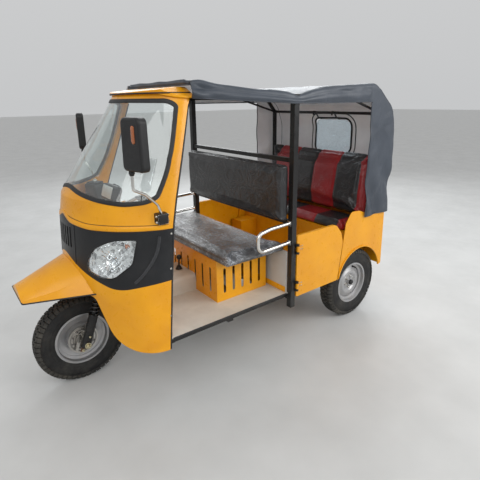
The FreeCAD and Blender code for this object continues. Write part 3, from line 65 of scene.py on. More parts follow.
def spread(points, step, closed=False):
    """The same run with points an even step apart."""
    run = np.array([tuple(p) for p in points] + ([tuple(points[0])] if closed else []))
    passed = np.concatenate(([0], np.cumsum(np.linalg.norm(np.diff(run, axis=0), axis=1))))
    count = max(3, round(passed[-1] / step))
    wanted = np.linspace(0, passed[-1], count + 1)[:count if closed else None]
    return [Vector(p) for p in zip(*(np.interp(wanted, passed, values) for values in run.T))]


def rounded(corners, step=0.01, closed=False):
    """Points along straight runs whose corners are rounded; a corner is (u, v) or (u, v, radius)."""
    made = []
    for i, (u, v, *radius) in enumerate(corners):
        here = Vector((u, v))
        if not radius or not closed and i in (0, len(corners) - 1):
            made.append(here)
            continue
        to_last = (Vector(corners[i - 1][:2]) - here).normalized()
        to_next = (Vector(corners[(i + 1) % len(corners)][:2]) - here).normalized()
        half = to_last.angle(to_next) / 2
        centre = here + (to_last + to_next).normalized() * radius[0] / sin(half)
        reach = radius[0] / tan(half)
        first, last = here + to_last * reach - centre, here + to_next * reach - centre
        start = atan2(first.y, first.x)
        sweep = (atan2(last.y, last.x) - start + pi) % (2 * pi) - pi
        for angle in np.linspace(start, start + sweep, max(2, int(abs(sweep) * radius[0] / step) + 1) + 1):
            made.append(centre + Vector((cos(angle), sin(angle))) * radius[0])
    return spread(made, step, closed)


def both_halves(corners):
    """A left half outline and its mirror image, in one run."""
    return corners + [(-c[0], *c[1:]) for c in reversed(corners) if c[0]]


def placed(name, data):
    """A new object in the scene."""
    made = bpy.data.objects.new(name, data)
    bpy.context.scene.collection.objects.link(made)
    return made


def mesh_from(bm, name):
    """The faces made so far as a stored mesh."""
    data = bpy.data.meshes.new(name)
    bm.normal_update()
    bm.to_mesh(data)
    bm.free()
    return data


def piece(name, mesh, slot, *materials, body="vehicle", smooth=True):
    """A finished mesh as an object that rides on a body, with its slot's finish or the given materials."""
    data = mesh_from(mesh, name) if isinstance(mesh, bmesh.types.BMesh) else mesh
    made = placed(name, data)
    for material in materials or (finishes[slot],):
        data.materials.append(material)
    if smooth:
        data.shade_smooth()
    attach(made, body)
    return made


def modify(item, kind, **values):
    made = item.modifiers.new(kind.lower(), kind)
    for key, value in values.items():
        setattr(made, key, value)
    return made


def add_rings(bm, rings, closed_ring=True, closed_run=False, capped=True):
    """Faces between rings of points that all have the same count."""
    grid = [[bm.verts.new(p) for p in ring] for ring in rings]
    runs = list(zip(grid, grid[1:])) + ([(grid[-1], grid[0])] if closed_run else [])
    count = len(grid[0])
    for low, high in runs:
        for i in range(count if closed_ring else count - 1):
            j = (i + 1) % count
            bm.faces.new((low[i], low[j], high[j], high[i]))
    if capped and closed_ring and not closed_run:
        bm.faces.new(grid[0][::-1])
        bm.faces.new(grid[-1])
    return grid


def circle(centre, first, second, radius, count):
    return [centre + (first * cos(a) + second * sin(a)) * radius
            for a in (2 * pi * k / count for k in range(count))]


def directions(path, closed=False):
    """The run's direction at each of its points, from the points before and after it."""
    count = len(path)
    after = [path[(i + 1) % count if closed else min(i + 1, count - 1)] for i in range(count)]
    before = [path[i - 1 if closed else max(i - 1, 0)] for i in range(count)]
    return [(a - b).normalized() for a, b in zip(after, before)]


def frames_along(path, closed=False):
    """Two directions square to the run at each of its points, without twist."""
    side, made = None, []
    for along in directions(path, closed):
        side = side or along.orthogonal()
        side = (side - along * side.dot(along)).normalized()
        made.append((side, along.cross(side)))
    return made


def add_tube(bm, path, radius, count=10, closed=False):
    """A round bar along a run of points; radius is one value or one for each point."""
    path = [Vector(p) for p in path]
    radii = radius if hasattr(radius, "__len__") else [radius] * len(path)
    rings = [circle(p, a, b, r, count) for p, (a, b), r in zip(path, frames_along(path, closed), radii)]
    add_rings(bm, rings, closed_run=closed)


def add_turned(bm, profile, centre, axis, count=32, side=None, ring=False):
    """A turned form from (distance along the axis, radius) pairs; a ring's profile closes on itself."""
    centre, axis = Vector(centre), Vector(axis).normalized()
    first = Vector(side).normalized() if side else axis.orthogonal().normalized()
    second = axis.cross(first)
    rings = [circle(centre + axis * along, first, second, max(r, 1e-4), count) for along, r in profile]
    add_rings(bm, rings, closed_run=ring)


def add_block(bm, centre, size, turn=None, bevel=0.0, segments=2):
    """A block with rounded edges, turned about its centre."""
    made = bmesh.ops.create_cube(bm, size=1.0)["verts"]
    place = Matrix.Translation(Vector(centre)) @ (turn or Matrix()) @ Matrix.Diagonal((*size, 1))
    bmesh.ops.transform(bm, matrix=place, verts=made)
    if bevel:
        edges = list(dict.fromkeys(e for v in made for e in v.link_edges))
        bmesh.ops.bevel(bm, geom=edges, offset=bevel, segments=segments, affect="EDGES", profile=0.5)


def rod(name, slot, points, radius, *materials, closed=False):
    """One round bar along a run of points, as a piece of its own."""
    bm = bmesh.new()
    add_tube(bm, points, radius, 8, closed)
    return piece(name, bm, slot, *materials)


def curve_run(points, step=0.006):
    """A smooth run through control points, by repeated corner cutting."""
    run = [Vector(p) for p in points]
    for _ in range(4):
        cut = [run[0]]
        for a, b in zip(run, run[1:]):
            cut += [a.lerp(b, 0.25), a.lerp(b, 0.75)]
        run = cut + [run[-1]]
    return spread(run, step)


def surface_of(name):
    """A search tree over a CAD node's mesh."""
    mesh = nodes[name].data
    return BVHTree.FromPolygons([v.co for v in mesh.vertices], [tuple(p.vertices) for p in mesh.polygons])


def ripple(x, y, z):
    """Smooth noise between -1 and 1."""
    return noise.noise(Vector((x, y, z)))


def outward(normal, place):
    """A normal turned so that it points away from the cab's middle."""
    away = Vector((place.x, place.y + 0.3, place.z - 1.0))
    return normal if normal.dot(away) > 0 else -normal


def strip_on(bm, tree, path, width, rise, closed=False):
    """A raised strip that lies on a surface, from the run to a width beside it."""
    sink, rings = 0.001, []
    rounding = [(0.02, 0.7), (0.12, 1), (0.5, 1.1), (0.88, 1), (0.98, 0.7)]
    shares = [(0, -sink)] + [(share, rise * tall) for share, tall in rounding] + [(1, -sink)]
    for place, along in zip(path, directions(path, closed)):
        found, normal, _, _ = tree.find_nearest(place)
        across = outward(normal, found).cross(along).normalized()
        ring = []
        for share, height in shares:
            spot, up, _, _ = tree.find_nearest(found + across * width * share)
            ring.append(spot + outward(up, spot) * height)
        rings.append(ring)
    add_rings(bm, rings, closed_ring=False, closed_run=closed)


# Helpers for materials

class Surface:
    """A material in the making: its shader, and textures laid out in metres."""

    def __init__(self, name, **fixed):
        self.material = bpy.data.materials.new(name)
        self.material.use_nodes = True
        self.tree = self.material.node_tree
        self.shader = self.tree.nodes["Principled BSDF"]
        for key, value in fixed.items():
            self.set(key.replace("_", " "), value)
        self.place = self.node("TexCoord").outputs["Object"]

    def node(self, kind, inputs=None, **settings):
        made = self.tree.nodes.new("ShaderNode" + kind)
        for key, value in settings.items():
            setattr(made, key, value)
        for key, value in (inputs or {}).items():
            self.feed(made.inputs[key], value)
        return made

    def feed(self, socket, value):
        if isinstance(value, bpy.types.NodeSocket):
            self.tree.links.new(value, socket)
        elif hasattr(value, "__len__") and len(value) == 3 and socket.type == "RGBA":
            socket.default_value = (*value, 1)
        else:
            socket.default_value = value

    def set(self, key, value):
        self.feed(self.shader.inputs[key], value)

    def stretched(self, scale, turn=(0, 0, 0)):
        return self.node("Mapping", {"Vector": self.place, "Scale": scale, "Rotation": turn}).outputs[0]

    def noise(self, scale, detail=3.0, vector=None, distortion=0.0, rough=0.5):
        return self.node("TexNoise", {"Vector": vector or self.place, "Scale": scale, "Detail": detail,
                                      "Distortion": distortion, "Roughness": rough}).outputs[0]

    def cells(self, scale, feature="F1", vector=None):
        return self.node("TexVoronoi", {"Vector": vector or self.place, "Scale": scale},
                         feature=feature).outputs["Distance"]

    def waves(self, scale, direction):
        sockets = {"Vector": self.place, "Scale": scale}
        return self.node("TexWave", sockets, bands_direction=direction).outputs["Fac"]

    def span(self, value, low, high, start=0.3, end=0.7):
        return self.node("MapRange", {"Value": value, "From Min": start, "From Max": end, "To Min": low,
                                      "To Max": high}).outputs[0]

    def math(self, kind, a, b=0.0):
        return self.node("Math", {0: a, 1: b}, operation=kind).outputs[0]

    def times(self, *factors):
        total = factors[0]
        for factor in factors[1:]:
            total = self.math("MULTIPLY", total, factor)
        return total

    def blend(self, share, first, second):
        return self.node("Mix", {0: share, 6: first, 7: second}, data_type="RGBA").outputs[2]

    def tones(self, first, second, scale, detail=4.0):
        """Base colour: two shades in soft clouds."""
        self.set("Base Color", self.blend(self.span(self.noise(scale, detail), 0, 1), first, second))

    def gloss(self, low, high, scale, detail=4.0, rough=0.5):
        """Roughness that wanders between two values."""
        self.set("Roughness", self.span(self.noise(scale, detail, rough=rough), low, high))

    def axis(self, letter):
        return self.node("SeparateXYZ", {0: self.place}).outputs[letter]

    def bump(self, height, distance, strength=1.0, normal=None):
        inputs = {"Height": height, "Distance": distance, "Strength": strength}
        if normal:
            inputs["Normal"] = normal
        return self.node("Bump", inputs).outputs[0]


GRAINS = {
    "paint": lambda s: s.noise(260, 1.0),
    "leather": lambda s: s.math("ADD", s.cells(620, "DISTANCE_TO_EDGE"), s.times(s.noise(90, 3), 0.6)),
    "brushed": lambda s: s.noise(90, 4.0, s.stretched((2, 60, 2))),
    "cast": lambda s: s.noise(420, 6.0, rough=0.7),
    "moulded": lambda s: s.cells(1500),
    "rubber": lambda s: s.noise(700, 5.0, rough=0.7),
    "worn": lambda s: s.noise(150, 8.0, rough=0.65),
}

# colour, second colour, metallic, roughness low and high, coat, grain, bump depth in mm, dust share
FINISHES = {
    "body_paint": ((0.8, 0.355, 0.004), (0.69, 0.285, 0.003), 0, 0.24, 0.38, 0.12, "paint", 0.12, 0.03),
    "panel_paint": ((0.008, 0.0085, 0.01), (0.013, 0.014, 0.016), 0, 0.28, 0.42, 0, "moulded", 0.08, 0.02),
    "black_steel": ((0.006, 0.006, 0.0065), (0.011, 0.0105, 0.0105), 0, 0.24, 0.42, 0.05, "paint", 0.15, 0.04),
    "floor_sheet": ((0.62, 0.575, 0.5), (0.5, 0.465, 0.41), 0, 0.42, 0.62, 0, "moulded", 0.2, 0.2),
    "grey_board": ((0.56, 0.56, 0.54), (0.47, 0.46, 0.44), 0, 0.48, 0.66, 0, "worn", 0.15, 0.1),
    "stainless": ((0.74, 0.73, 0.7), (0.6, 0.59, 0.57), 1, 0.12, 0.24, 0, "brushed", 0.05, 0),
    "bright_steel": ((0.6, 0.59, 0.56), (0.42, 0.4, 0.37), 1, 0.24, 0.46, 0, "worn", 0.2, 0.12),
    "rim_paint": ((0.46, 0.46, 0.47), (0.34, 0.34, 0.345), 0.65, 0.3, 0.48, 0.15, "paint", 0.2, 0.22),
    "tyre_rubber": ((0.009, 0.009, 0.0095), (0.016, 0.0155, 0.015), 0, 0.58, 0.8, 0, "rubber", 0.35, 0.045),
    "tread_rubber": ((0.018, 0.018, 0.017), (0.036, 0.034, 0.03), 0, 0.66, 0.86, 0, "rubber", 0.35, 0.12),
    "black_rubber": ((0.012, 0.0125, 0.014), (0.022, 0.0225, 0.024), 0, 0.44, 0.64, 0, "rubber", 0.2, 0.05),
    "black_plastic": ((0.007, 0.0075, 0.008), (0.012, 0.012, 0.013), 0, 0.3, 0.46, 0, "moulded", 0.25, 0.03),
    "engine_metal": ((0.4, 0.39, 0.38), (0.25, 0.24, 0.23), 0.85, 0.38, 0.6, 0, "cast", 0.6, 0.25),
}


def finish(name):
    """The material of one slot: two shades in soft clouds, uneven gloss, grain, and dust low down."""
    first, second, metallic, low, high, coat, grain, depth, dust = FINISHES[name]
    made = Surface(name, Metallic=metallic, Coat_Weight=coat, Coat_Roughness=0.05, Specular_IOR_Level=0.38)
    clouds = made.noise(5.5, 5.0, distortion=0.4)
    colour = made.blend(made.span(clouds, 0, 1), first, second)
    if dust:
        patches = made.span(made.noise(9, 8.0, rough=0.7), 0, 1, 0.45, 0.75)
        lower = made.span(made.axis("Z"), 1, 0.12, 0.15, 1.1)
        share = made.times(patches, lower, dust * 2)
        colour = made.blend(share, colour, (0.36, 0.32, 0.26))
    made.set("Base Color", colour)
    made.gloss(low, high, 28, 6.0, 0.65)
    made.set("Normal", made.bump(GRAINS[grain](made), depth / 1000))
    return made.material


def stripes(surface, edges, soft=0.0015):
    """1 inside the bands of X that the pairs of edges give, 0 outside."""
    x = surface.axis("X")
    total = None
    for low, high in edges:
        rise = surface.span(x, 0, 1, low - soft, low + soft)
        fall = surface.span(x, 1, 0, high - soft, high + soft)
        band = surface.times(rise, fall)
        total = band if total is None else surface.math("MAXIMUM", total, band)
    return total


RED_BANDS = ((-0.46, -0.215), (0.03, 0.28), (0.51, 0.70))


def seat_vinyl(name, red_bands=(), film=0.8, crinkle=9.0, haze_and_sheen=0.10, fold=0.022):
    """Grained vinyl under a crinkled clear film, which shows as a second gloss with its own sharp folds; a
    pale painted sheen on the film's crests and in patches stands for its reflections.
    """
    made = Surface(name, Coat_Weight=film, Coat_Roughness=0.10, Coat_IOR=1.6, Specular_IOR_Level=0.35)
    clouds = made.span(made.noise(7, 4.0), 0, 1)
    colour = made.blend(clouds, (0.011, 0.011, 0.012), (0.019, 0.019, 0.021))
    if red_bands:
        red = made.blend(clouds, (0.34, 0.008, 0.012), (0.24, 0.005, 0.008))
        colour = made.blend(stripes(made, red_bands), colour, red)
    folds = made.noise(crinkle, 3.0, made.stretched((1, 1.7, 1.3), (0.3, 0.2, 0.6)), 1.6, 0.55)
    ridges = made.math("ABSOLUTE", made.math("SUBTRACT", folds, 0.5))
    small = made.noise(crinkle * 4, 2.0, made.stretched((1.6, 1, 1.2), (0.1, 0.5, 0.9)), 1.2, 0.5)
    crests = made.span(ridges, 1, 0, 0.0, 0.030)
    patches = made.span(made.noise(crinkle * 0.6, 3.0), 0.1, 1, 0.45, 0.7)
    # Painted sheen: pale colour on the film's fold crests and in soft patches, standing for the film's
    # reflections.
    painted_sheen = made.math("ADD", made.times(crests, patches, haze_and_sheen * 2.2), made.times(patches, haze_and_sheen * 0.5))
    made.set("Base Color", made.blend(painted_sheen, colour, (0.62, 0.66, 0.72)))
    made.gloss(0.34, 0.50, 60)
    made.set("Normal", made.bump(GRAINS["leather"](made), 0.0003))
    height = made.math("SUBTRACT", made.times(small, 0.12), ridges)
    made.set("Coat Normal", made.bump(height, fold, 0.9))
    return made.material


def canopy_vinyl():
    """Dark blue-grey coated cloth with fine grain and small creases."""
    made = Surface("canopy_cloth", Specular_IOR_Level=0.5, Coat_Weight=0.14, Coat_Roughness=0.30)
    clouds = made.span(made.noise(4, 5.0, distortion=0.6), 0, 1)
    made.set("Base Color", made.blend(clouds, (0.034, 0.043, 0.058), (0.049, 0.060, 0.079)))
    made.gloss(0.38, 0.54, 18, 6.0, 0.6)
    fine = made.bump(made.times(made.waves(900.0, "X"), made.waves(900.0, "Z")), 0.00010)
    creases = made.noise(9, 5.0, made.stretched((1, 1.7, 1.2), (0.5, 0.3, 0.2)), 1.4, 0.5)
    made.set("Normal", made.bump(creases, 0.006, 0.5, fine))
    return made.material


def lining_cloth():
    """Pale grey woven cloth on the inner side of the canopy, with a faint glow that is painted light for the
    lit cab.
    """
    # The faint emission is painted light: the lining glows though it is no lamp.
    made = Surface("canopy_lining", Roughness=0.86, Emission_Color=(0.80, 0.84, 0.90), Emission_Strength=0.05)
    made.tones((0.84, 0.83, 0.83), (0.74, 0.73, 0.74), 6, 6.0)
    weave = made.noise(1400, 2.0)
    creases = made.noise(11, 4.0, made.stretched((1, 1.5, 1)), 1.2)
    made.set("Normal", made.bump(creases, 0.006, 0.5, made.bump(weave, 0.0002)))
    return made.material


def clear_sheet(name, tint, rough, waves, depth, haze_and_sheen):
    """A thin clear pane with faint haze: light passes straight through, and it mirrors more at low angles."""
    made = Surface(name, Base_Color=(0.72, 0.75, 0.78), Specular_IOR_Level=1.0)
    dust = made.span(made.noise(14, 6.0, rough=0.7), 0.6, 1.4, 0.35, 0.75)
    made.set("Roughness", made.span(made.noise(30, 4.0), rough, rough + 0.06, 0.4, 0.8))
    bumps = made.bump(made.noise(waves, 3.0, distortion=1.0), depth, 0.6)
    made.set("Normal", bumps)
    through = made.node("BsdfTransparent", {"Color": tint}).outputs[0]
    glint = made.node("BsdfGlossy", {"Color": (1, 1, 1), "Roughness": rough, "Normal": bumps}).outputs[0]
    facing = made.node("LayerWeight", {"Blend": 0.5, "Normal": bumps}).outputs["Facing"]
    angle = made.math("ADD", made.times(made.math("POWER", facing, 5.0), 0.90), 0.05)
    misted = {0: made.times(dust, haze_and_sheen), 1: through, 2: made.shader.outputs[0]}
    hazy = made.node("MixShader", misted).outputs[0]
    whole = made.node("MixShader", {0: angle, 1: hazy, 2: glint}).outputs[0]
    made.tree.links.new(whole, made.tree.nodes["Material Output"].inputs[0])
    return made.material


# tint, roughness, scale and depth of the waves, haze
CLEAR_SHEETS = {
    "clear_glass": ((0.90, 0.93, 0.925), 0.02, 5.0, 0.0008, 0.05),
    "window_film": ((0.86, 0.92, 0.96), 0.06, 16.0, 0.010, 0.10),
    "lamp": ((0.97, 0.98, 0.98), 0.01, 24.0, 0.0015, 0.02),
}


def plain_gloss(name, colour, second, metallic=0, rough=0.15, grain="paint", depth=0.0001):
    """A small part's finish: two close shades, slightly uneven gloss, fine grain."""
    made = Surface(name, Metallic=metallic)
    made.tones(colour, second, 40)
    made.gloss(rough, rough + 0.12, 120)
    made.set("Normal", made.bump(GRAINS[grain](made), depth))
    return made.material


def lamp_chrome():
    """Mirror plating in small facets, some painted darker as a painted reflection of dark surroundings."""
    made = Surface("lamp_chrome", Metallic=1.0)
    facets = made.node("TexVoronoi", {"Vector": made.place, "Scale": 44.0}).outputs["Color"]
    tone = made.node("SeparateXYZ", {0: facets}).outputs["X"]
    # Facets with a low cell value get the darker colour: painted reflection of the dark.
    share = made.span(tone, 0, 1, 0.15, 0.45)
    made.set("Base Color", made.blend(share, (0.45, 0.455, 0.46), (0.95, 0.96, 0.97)))
    made.gloss(0.05, 0.14, 60, 3.0)
    made.set("Normal", made.bump(made.cells(44.0), 0.0016, 0.8))
    return made.material


def lamp_plastic(name, colour, second):
    """Ribbed coloured lens."""
    made = Surface(name, Coat_Weight=0.8, Coat_Roughness=0.05, Transmission_Weight=0.25)
    made.tones(colour, second, 30, 3.0)
    made.gloss(0.12, 0.24, 90, 3.0)
    made.set("Normal", made.bump(made.waves(55.0, "Z"), 0.0010))
    return made.material


finishes = {name: finish(name) for name in FINISHES}
finishes["canopy_cloth"] = canopy_vinyl()
# The last number of each seat sets how strong its pale painted sheen is.
finishes["black_vinyl"] = seat_vinyl("black_vinyl", film=0.45, crinkle=7.0, haze_and_sheen=0.03)
finishes["seat_film"] = seat_vinyl("seat_film", film=1.0, crinkle=11.0, haze_and_sheen=0.30, fold=0.035)
finishes["red_vinyl"] = seat_vinyl("red_vinyl", RED_BANDS, film=0.5, crinkle=8.0, haze_and_sheen=0.05)
for sheet, values in CLEAR_SHEETS.items():
    finishes[sheet] = clear_sheet(sheet, *values)
finishes["lamp_red"] = lamp_plastic("lamp_red", (0.52, 0.012, 0.010), (0.42, 0.008, 0.008))
lining = lining_cloth()
orange = lamp_plastic("reflector_orange", (0.52, 0.130, 0.012), (0.40, 0.090, 0.008))
chrome = lamp_chrome()
looking_glass = plain_gloss("looking_glass", (0.86, 0.88, 0.89), (0.80, 0.82, 0.84), metallic=1, rough=0.01,
                            depth=0.00001)
# Pale white: the dials' own colour, and a painted reflection on the housing's front face.
gauge_white_and_glare = plain_gloss("gauge_white_and_glare", (0.78, 0.79, 0.78), (0.68, 0.69, 0.69), rough=0.25, grain="moulded")
zinc = plain_gloss("zinc_yellow", (0.62, 0.55, 0.34), (0.50, 0.46, 0.33), metallic=0.9, rough=0.28,
                   grain="worn", depth=0.0003)
rubber = finishes["black_rubber"]


def dress_frame():
    """Each CAD node gets the finish of its slot."""
    for entry in frame["record"]["subparts"]:
        materials = nodes[entry["node"]].data.materials
        materials.clear()
        materials.append(finishes[entry["material_slot"]])


# Stage

def make_camera():
    """The photograph's viewing place, direction, roll and framing."""
    place = Vector((2.47943, -1.60980, 1.74142))
    yaw, pitch, roll = (radians(a) for a in (52.61857, 15.62753, -0.79435))
    ahead = Vector((-sin(yaw) * cos(pitch), cos(yaw) * cos(pitch), -sin(pitch)))
    right = Vector((cos(yaw), sin(yaw), 0))
    up = right.cross(ahead)
    right_rolled = right * cos(roll) + up * sin(roll)
    up_rolled = up * cos(roll) - right * sin(roll)
    data = bpy.data.cameras.new("camera")
    focal_pixels, frame_pixels, centre_row = 405.0586, 480, 213.5
    data.sensor_width = 36
    data.lens = focal_pixels * data.sensor_width / frame_pixels
    data.shift_y = (centre_row - frame_pixels / 2) / frame_pixels
    data.clip_start, data.clip_end = 0.05, 100
    camera = placed("camera", data)
    turn = Matrix((right_rolled, up_rolled, -ahead)).transposed().to_4x4()
    camera.matrix_world = Matrix.Translation(place) @ turn
    bpy.context.scene.camera = camera


def make_floor():
    bm = bmesh.new()
    bmesh.ops.create_grid(bm, x_segments=8, y_segments=8, size=60)
    floor = placed("floor", mesh_from(bm, "floor"))
    made = Surface("studio_floor")
    made.tones((0.56, 0.565, 0.56), (0.50, 0.505, 0.50), 2.5, 6.0)
    made.gloss(0.42, 0.62, 12, 6.0)
    made.set("Normal", made.bump(made.noise(220, 4.0), 0.0004))
    floor.data.materials.append(made.material)


def add_light(name, place, target, size, power, colour=(1, 1, 1)):
    data = bpy.data.lights.new(name, "AREA")
    data.shape, data.size, data.size_y = "RECTANGLE", *size
    data.energy, data.color = power, colour
    light = placed(name, data)
    light.location = place
    light.rotation_mode = "QUATERNION"
    light.rotation_quaternion = (Vector(target) - Vector(place)).to_track_quat("-Z", "Y")


def make_lights():
    """Pale sky that brightens upward, and three large soft lights."""
    world = bpy.data.worlds.new("studio")
    bpy.context.scene.world = world
    world.use_nodes = True
    nodes_of, links = world.node_tree.nodes, world.node_tree.links
    back = nodes_of["Background"]
    kinds = ("TexCoord", "SeparateXYZ", "ValToRGB")
    place, split, ramp = (nodes_of.new("ShaderNode" + kind) for kind in kinds)
    links.new(place.outputs["Generated"], split.inputs[0])
    links.new(split.outputs["Z"], ramp.inputs[0])
    links.new(ramp.outputs[0], back.inputs["Color"])
    ramp.color_ramp.elements[0].color = (0.78, 0.79, 0.80, 1)
    ramp.color_ramp.elements[1].color = (1.0, 1.0, 1.0, 1)
    back.inputs["Strength"].default_value = 0.72
    add_light("key", (3.6, -3.4, 4.4), (0, 0, 0.9), (5.0, 4.0), 115, (1.0, 0.99, 0.97))
    add_light("window_band", (-3.8, 3.4, 4.2), (0, 0.2, 1.3), (6.0, 4.0), 240, (0.95, 0.98, 1.0))
    add_light("left_band", (4.8, 2.6, 3.2), (0, 0.6, 0.9), (4.0, 2.4), 160)
    bpy.context.scene.view_settings.view_transform = "Standard"


make_camera()
make_floor()
make_lights()
dress_frame()


# Canopy: one coated cloth over the bars, with pale lining

SIDE_LINE = [
    (-0.390, 1.858), (0.2765, 1.776, 0.300), (0.500, 1.822, 0.500), (1.060, 1.848, 0.110),
    (1.280, 1.680, 0.160), (1.345, 1.500, 0.200), (1.345, 1.330, 0.400), (1.316, 1.150, 0.400),
    (1.320, 0.850),
]
CURTAIN_Y, CURTAIN_LOW, FLAP_LOW = 1.010, 0.850, 1.829
VALANCE = ((-0.390, 1.757), (0.2565, 1.718))
ROOF_BARS = (-0.385, 0.256, 0.740, 1.101)
SIDE_STEPS, CORNER_STEPS, ROOF_STEPS = 14, 4, 74
WINDOW = ((-0.170, 1.285), (0.230, 1.560), 0.055)
WALL_Y = 1.3435


def canopy_half(y):
    """Half width of the roof: narrow over the windscreen, full from the posts on."""
    return float(np.interp(y, (-0.410, 0.2265), (0.445, CANOPY_HALF)))


def valance_height(y):
    return float(np.interp(y, *zip(*VALANCE)))


def cloth_folds(place, share):
    """How far the cloth stands in or out: sag between the bars, folds in the sides, creases at corners."""
    x, y, z = place
    out = 0.0035 * ripple(x * 3, y * 4, z * 4)
    out += 0.0015 * ripple(x * 9, y * 11, z * 9 + 5)
    if y > 0.98 and z < 1.62 and abs(x) > 0.6:
        fall = min(max((1.62 - z) / 0.5, 0.0), 1.0)
        slope = (z - 0.85) * 0.45 + (y - 1.01)
        out += fall * 0.013 * sin(slope * 30 + 2.4 * ripple(y * 5, z * 3, 2))
        out += 0.011 * abs(ripple(y * 9 + z * 5, z * 6 - y * 5, 7))
        ridge = abs((y - 1.02) * 0.86 - (z - 0.86) * 0.42)
        out += 0.010 * exp(-(ridge / 0.018) ** 2) * (1 if z < 1.22 else 0)
    elif z < 1.80 and abs(x) > 0.4 and y < 0.98:
        swell = sin(pi * min(max(share * 1.25, 0.0), 1.0))
        out += 0.010 * swell + 0.004 * sin(y * 15 + x + 2.5 * ripple(y * 3, z * 5, 3))
        out += 0.005 * abs(ripple(y * 4, z * 16, 11))
    elif z >= 1.70:
        near = min(abs(y - bar) for bar in ROOF_BARS)
        out -= 0.010 * min(near / 0.2, 1.0) ** 1.5 * max(0.0, 1 - (x / 0.6) ** 4)
        out += 0.0025 * sin(x * 22 + 3 * ripple(x * 4, y * 3, 0)) * exp(-near * 14)
    else:
        out += 0.004 * sin(x * 15 + 2 * ripple(x * 3, 0, z * 2))
    corner = Vector((abs(x) - canopy_half(y), (y - 0.256), (z - 1.78)))
    out -= 0.008 * exp(-(corner.length / 0.05) ** 2)
    front = exp(-((y + 0.39) / 0.10) ** 2) if abs(x) > 0.38 else 0.0
    return out + 0.012 * front * sin((z - 1.75) * 60 + y * 35)


def canopy_rows():
    """The points of the roof and rear wall line, each with its matching point on the side's edge."""
    line = rounded(SIDE_LINE, 0.016)
    over_valance = [p.x <= CURTAIN_Y and p.y > 1.7 for p in line]
    last_roof = max(i for i, over in enumerate(over_valance) if over)
    curtain_top, rows = 1.718, []
    for i, place in enumerate(line):
        drop = (curtain_top - CURTAIN_LOW) * (i - last_roof) / (len(line) - 1 - last_roof)
        edge = (place.x, valance_height(place.x)) if over_valance[i] else (CURTAIN_Y, curtain_top - drop)
        rows.append((place, Vector(edge)))
    return rows


def canopy_ring(place, edge):
    """One run across the cloth, from the left side's edge over the roof to the right side's edge."""
    half, corner = canopy_half(place.x), 0.026
    inward = (edge - place).normalized()
    left = []
    for k in range(SIDE_STEPS):
        share = k / SIDE_STEPS
        spot = edge.lerp(place + inward * corner, share)
        left.append((canopy_half(spot.x), spot, share))
    for k in range(CORNER_STEPS):
        angle = pi / 2 * k / CORNER_STEPS
        spot = place + inward * corner * (1 - sin(angle))
        left.append((half - corner * (1 - cos(angle)), spot, 1.0))
    roof = [((half - corner) * (1 - 2 * k / ROOF_STEPS), place, 1.0) for k in range(ROOF_STEPS + 1)]
    right = [(-across, spot, share) for across, spot, share in reversed(left)]
    return [(Vector((across, spot.x, spot.y)), share) for across, spot, share in left + roof + right]


def in_window(x, z, grow=0.0):
    (x0, z0), (x1, z1), corner = WINDOW
    u = max(abs(x - (x0 + x1) / 2) - (x1 - x0) / 2 + corner, 0.0)
    v = max(abs(z - (z0 + z1) / 2) - (z1 - z0) / 2 + corner, 0.0)
    return hypot(u, v) < corner + grow


def make_canopy():
    """The whole cloth as one sheet: front flap, roof, valances, quarters and rear wall with its window."""
    bm = bmesh.new()
    rows = [canopy_ring(*row) for row in canopy_rows()]
    grid = [[bm.verts.new(place) for place, _ in row] for row in rows]
    first = SIDE_STEPS + CORNER_STEPS
    front = grid[0][first:first + ROOF_STEPS + 1]
    flap = [bm.verts.new((v.co.x, v.co.y - 0.0005, FLAP_LOW)) for v in front]
    for a, b, c, d in zip(flap, flap[1:], front[1:], front):
        bm.faces.new((a, b, c, d))
    for low, high in zip(grid, grid[1:]):
        for i in range(len(low) - 1):
            middle = (low[i].co + high[i + 1].co) / 2
            if middle.y > 1.2 and in_window(middle.x, middle.z, 0.004):
                continue
            bm.faces.new((low[i], low[i + 1], high[i + 1], high[i]))
    bm.normal_update()
    inside = Vector((0, 0.5, 1.35))
    flat_area = sum(f.calc_area() for f in bm.faces)
    shares = [share for row in rows for _, share in row] + [1.0] * len(flap)
    moves = []
    for vert, share in zip([v for row in grid for v in row] + flap, shares):
        normal = vert.normal if vert.normal.dot(vert.co - inside) > 0 else -vert.normal
        moves.append((vert, normal * cloth_folds(vert.co, share)))
    for vert, move in moves:
        vert.co += move
    bmesh.ops.delete(bm, geom=[v for v in bm.verts if not v.link_faces], context="VERTS")
    bmesh.ops.recalc_face_normals(bm, faces=bm.faces)
    probe = max(bm.faces, key=lambda f: f.calc_center_median().z)
    if probe.normal.z < 0:
        bmesh.ops.reverse_faces(bm, faces=bm.faces)
    made = piece("canopy_sheet", bm, "canopy_cloth", finishes["canopy_cloth"], lining)
    modify(made, "SOLIDIFY", thickness=0.0022, offset=-1, material_offset=1, material_offset_rim=0)
    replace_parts(made, "canopy")
    return made, flat_area


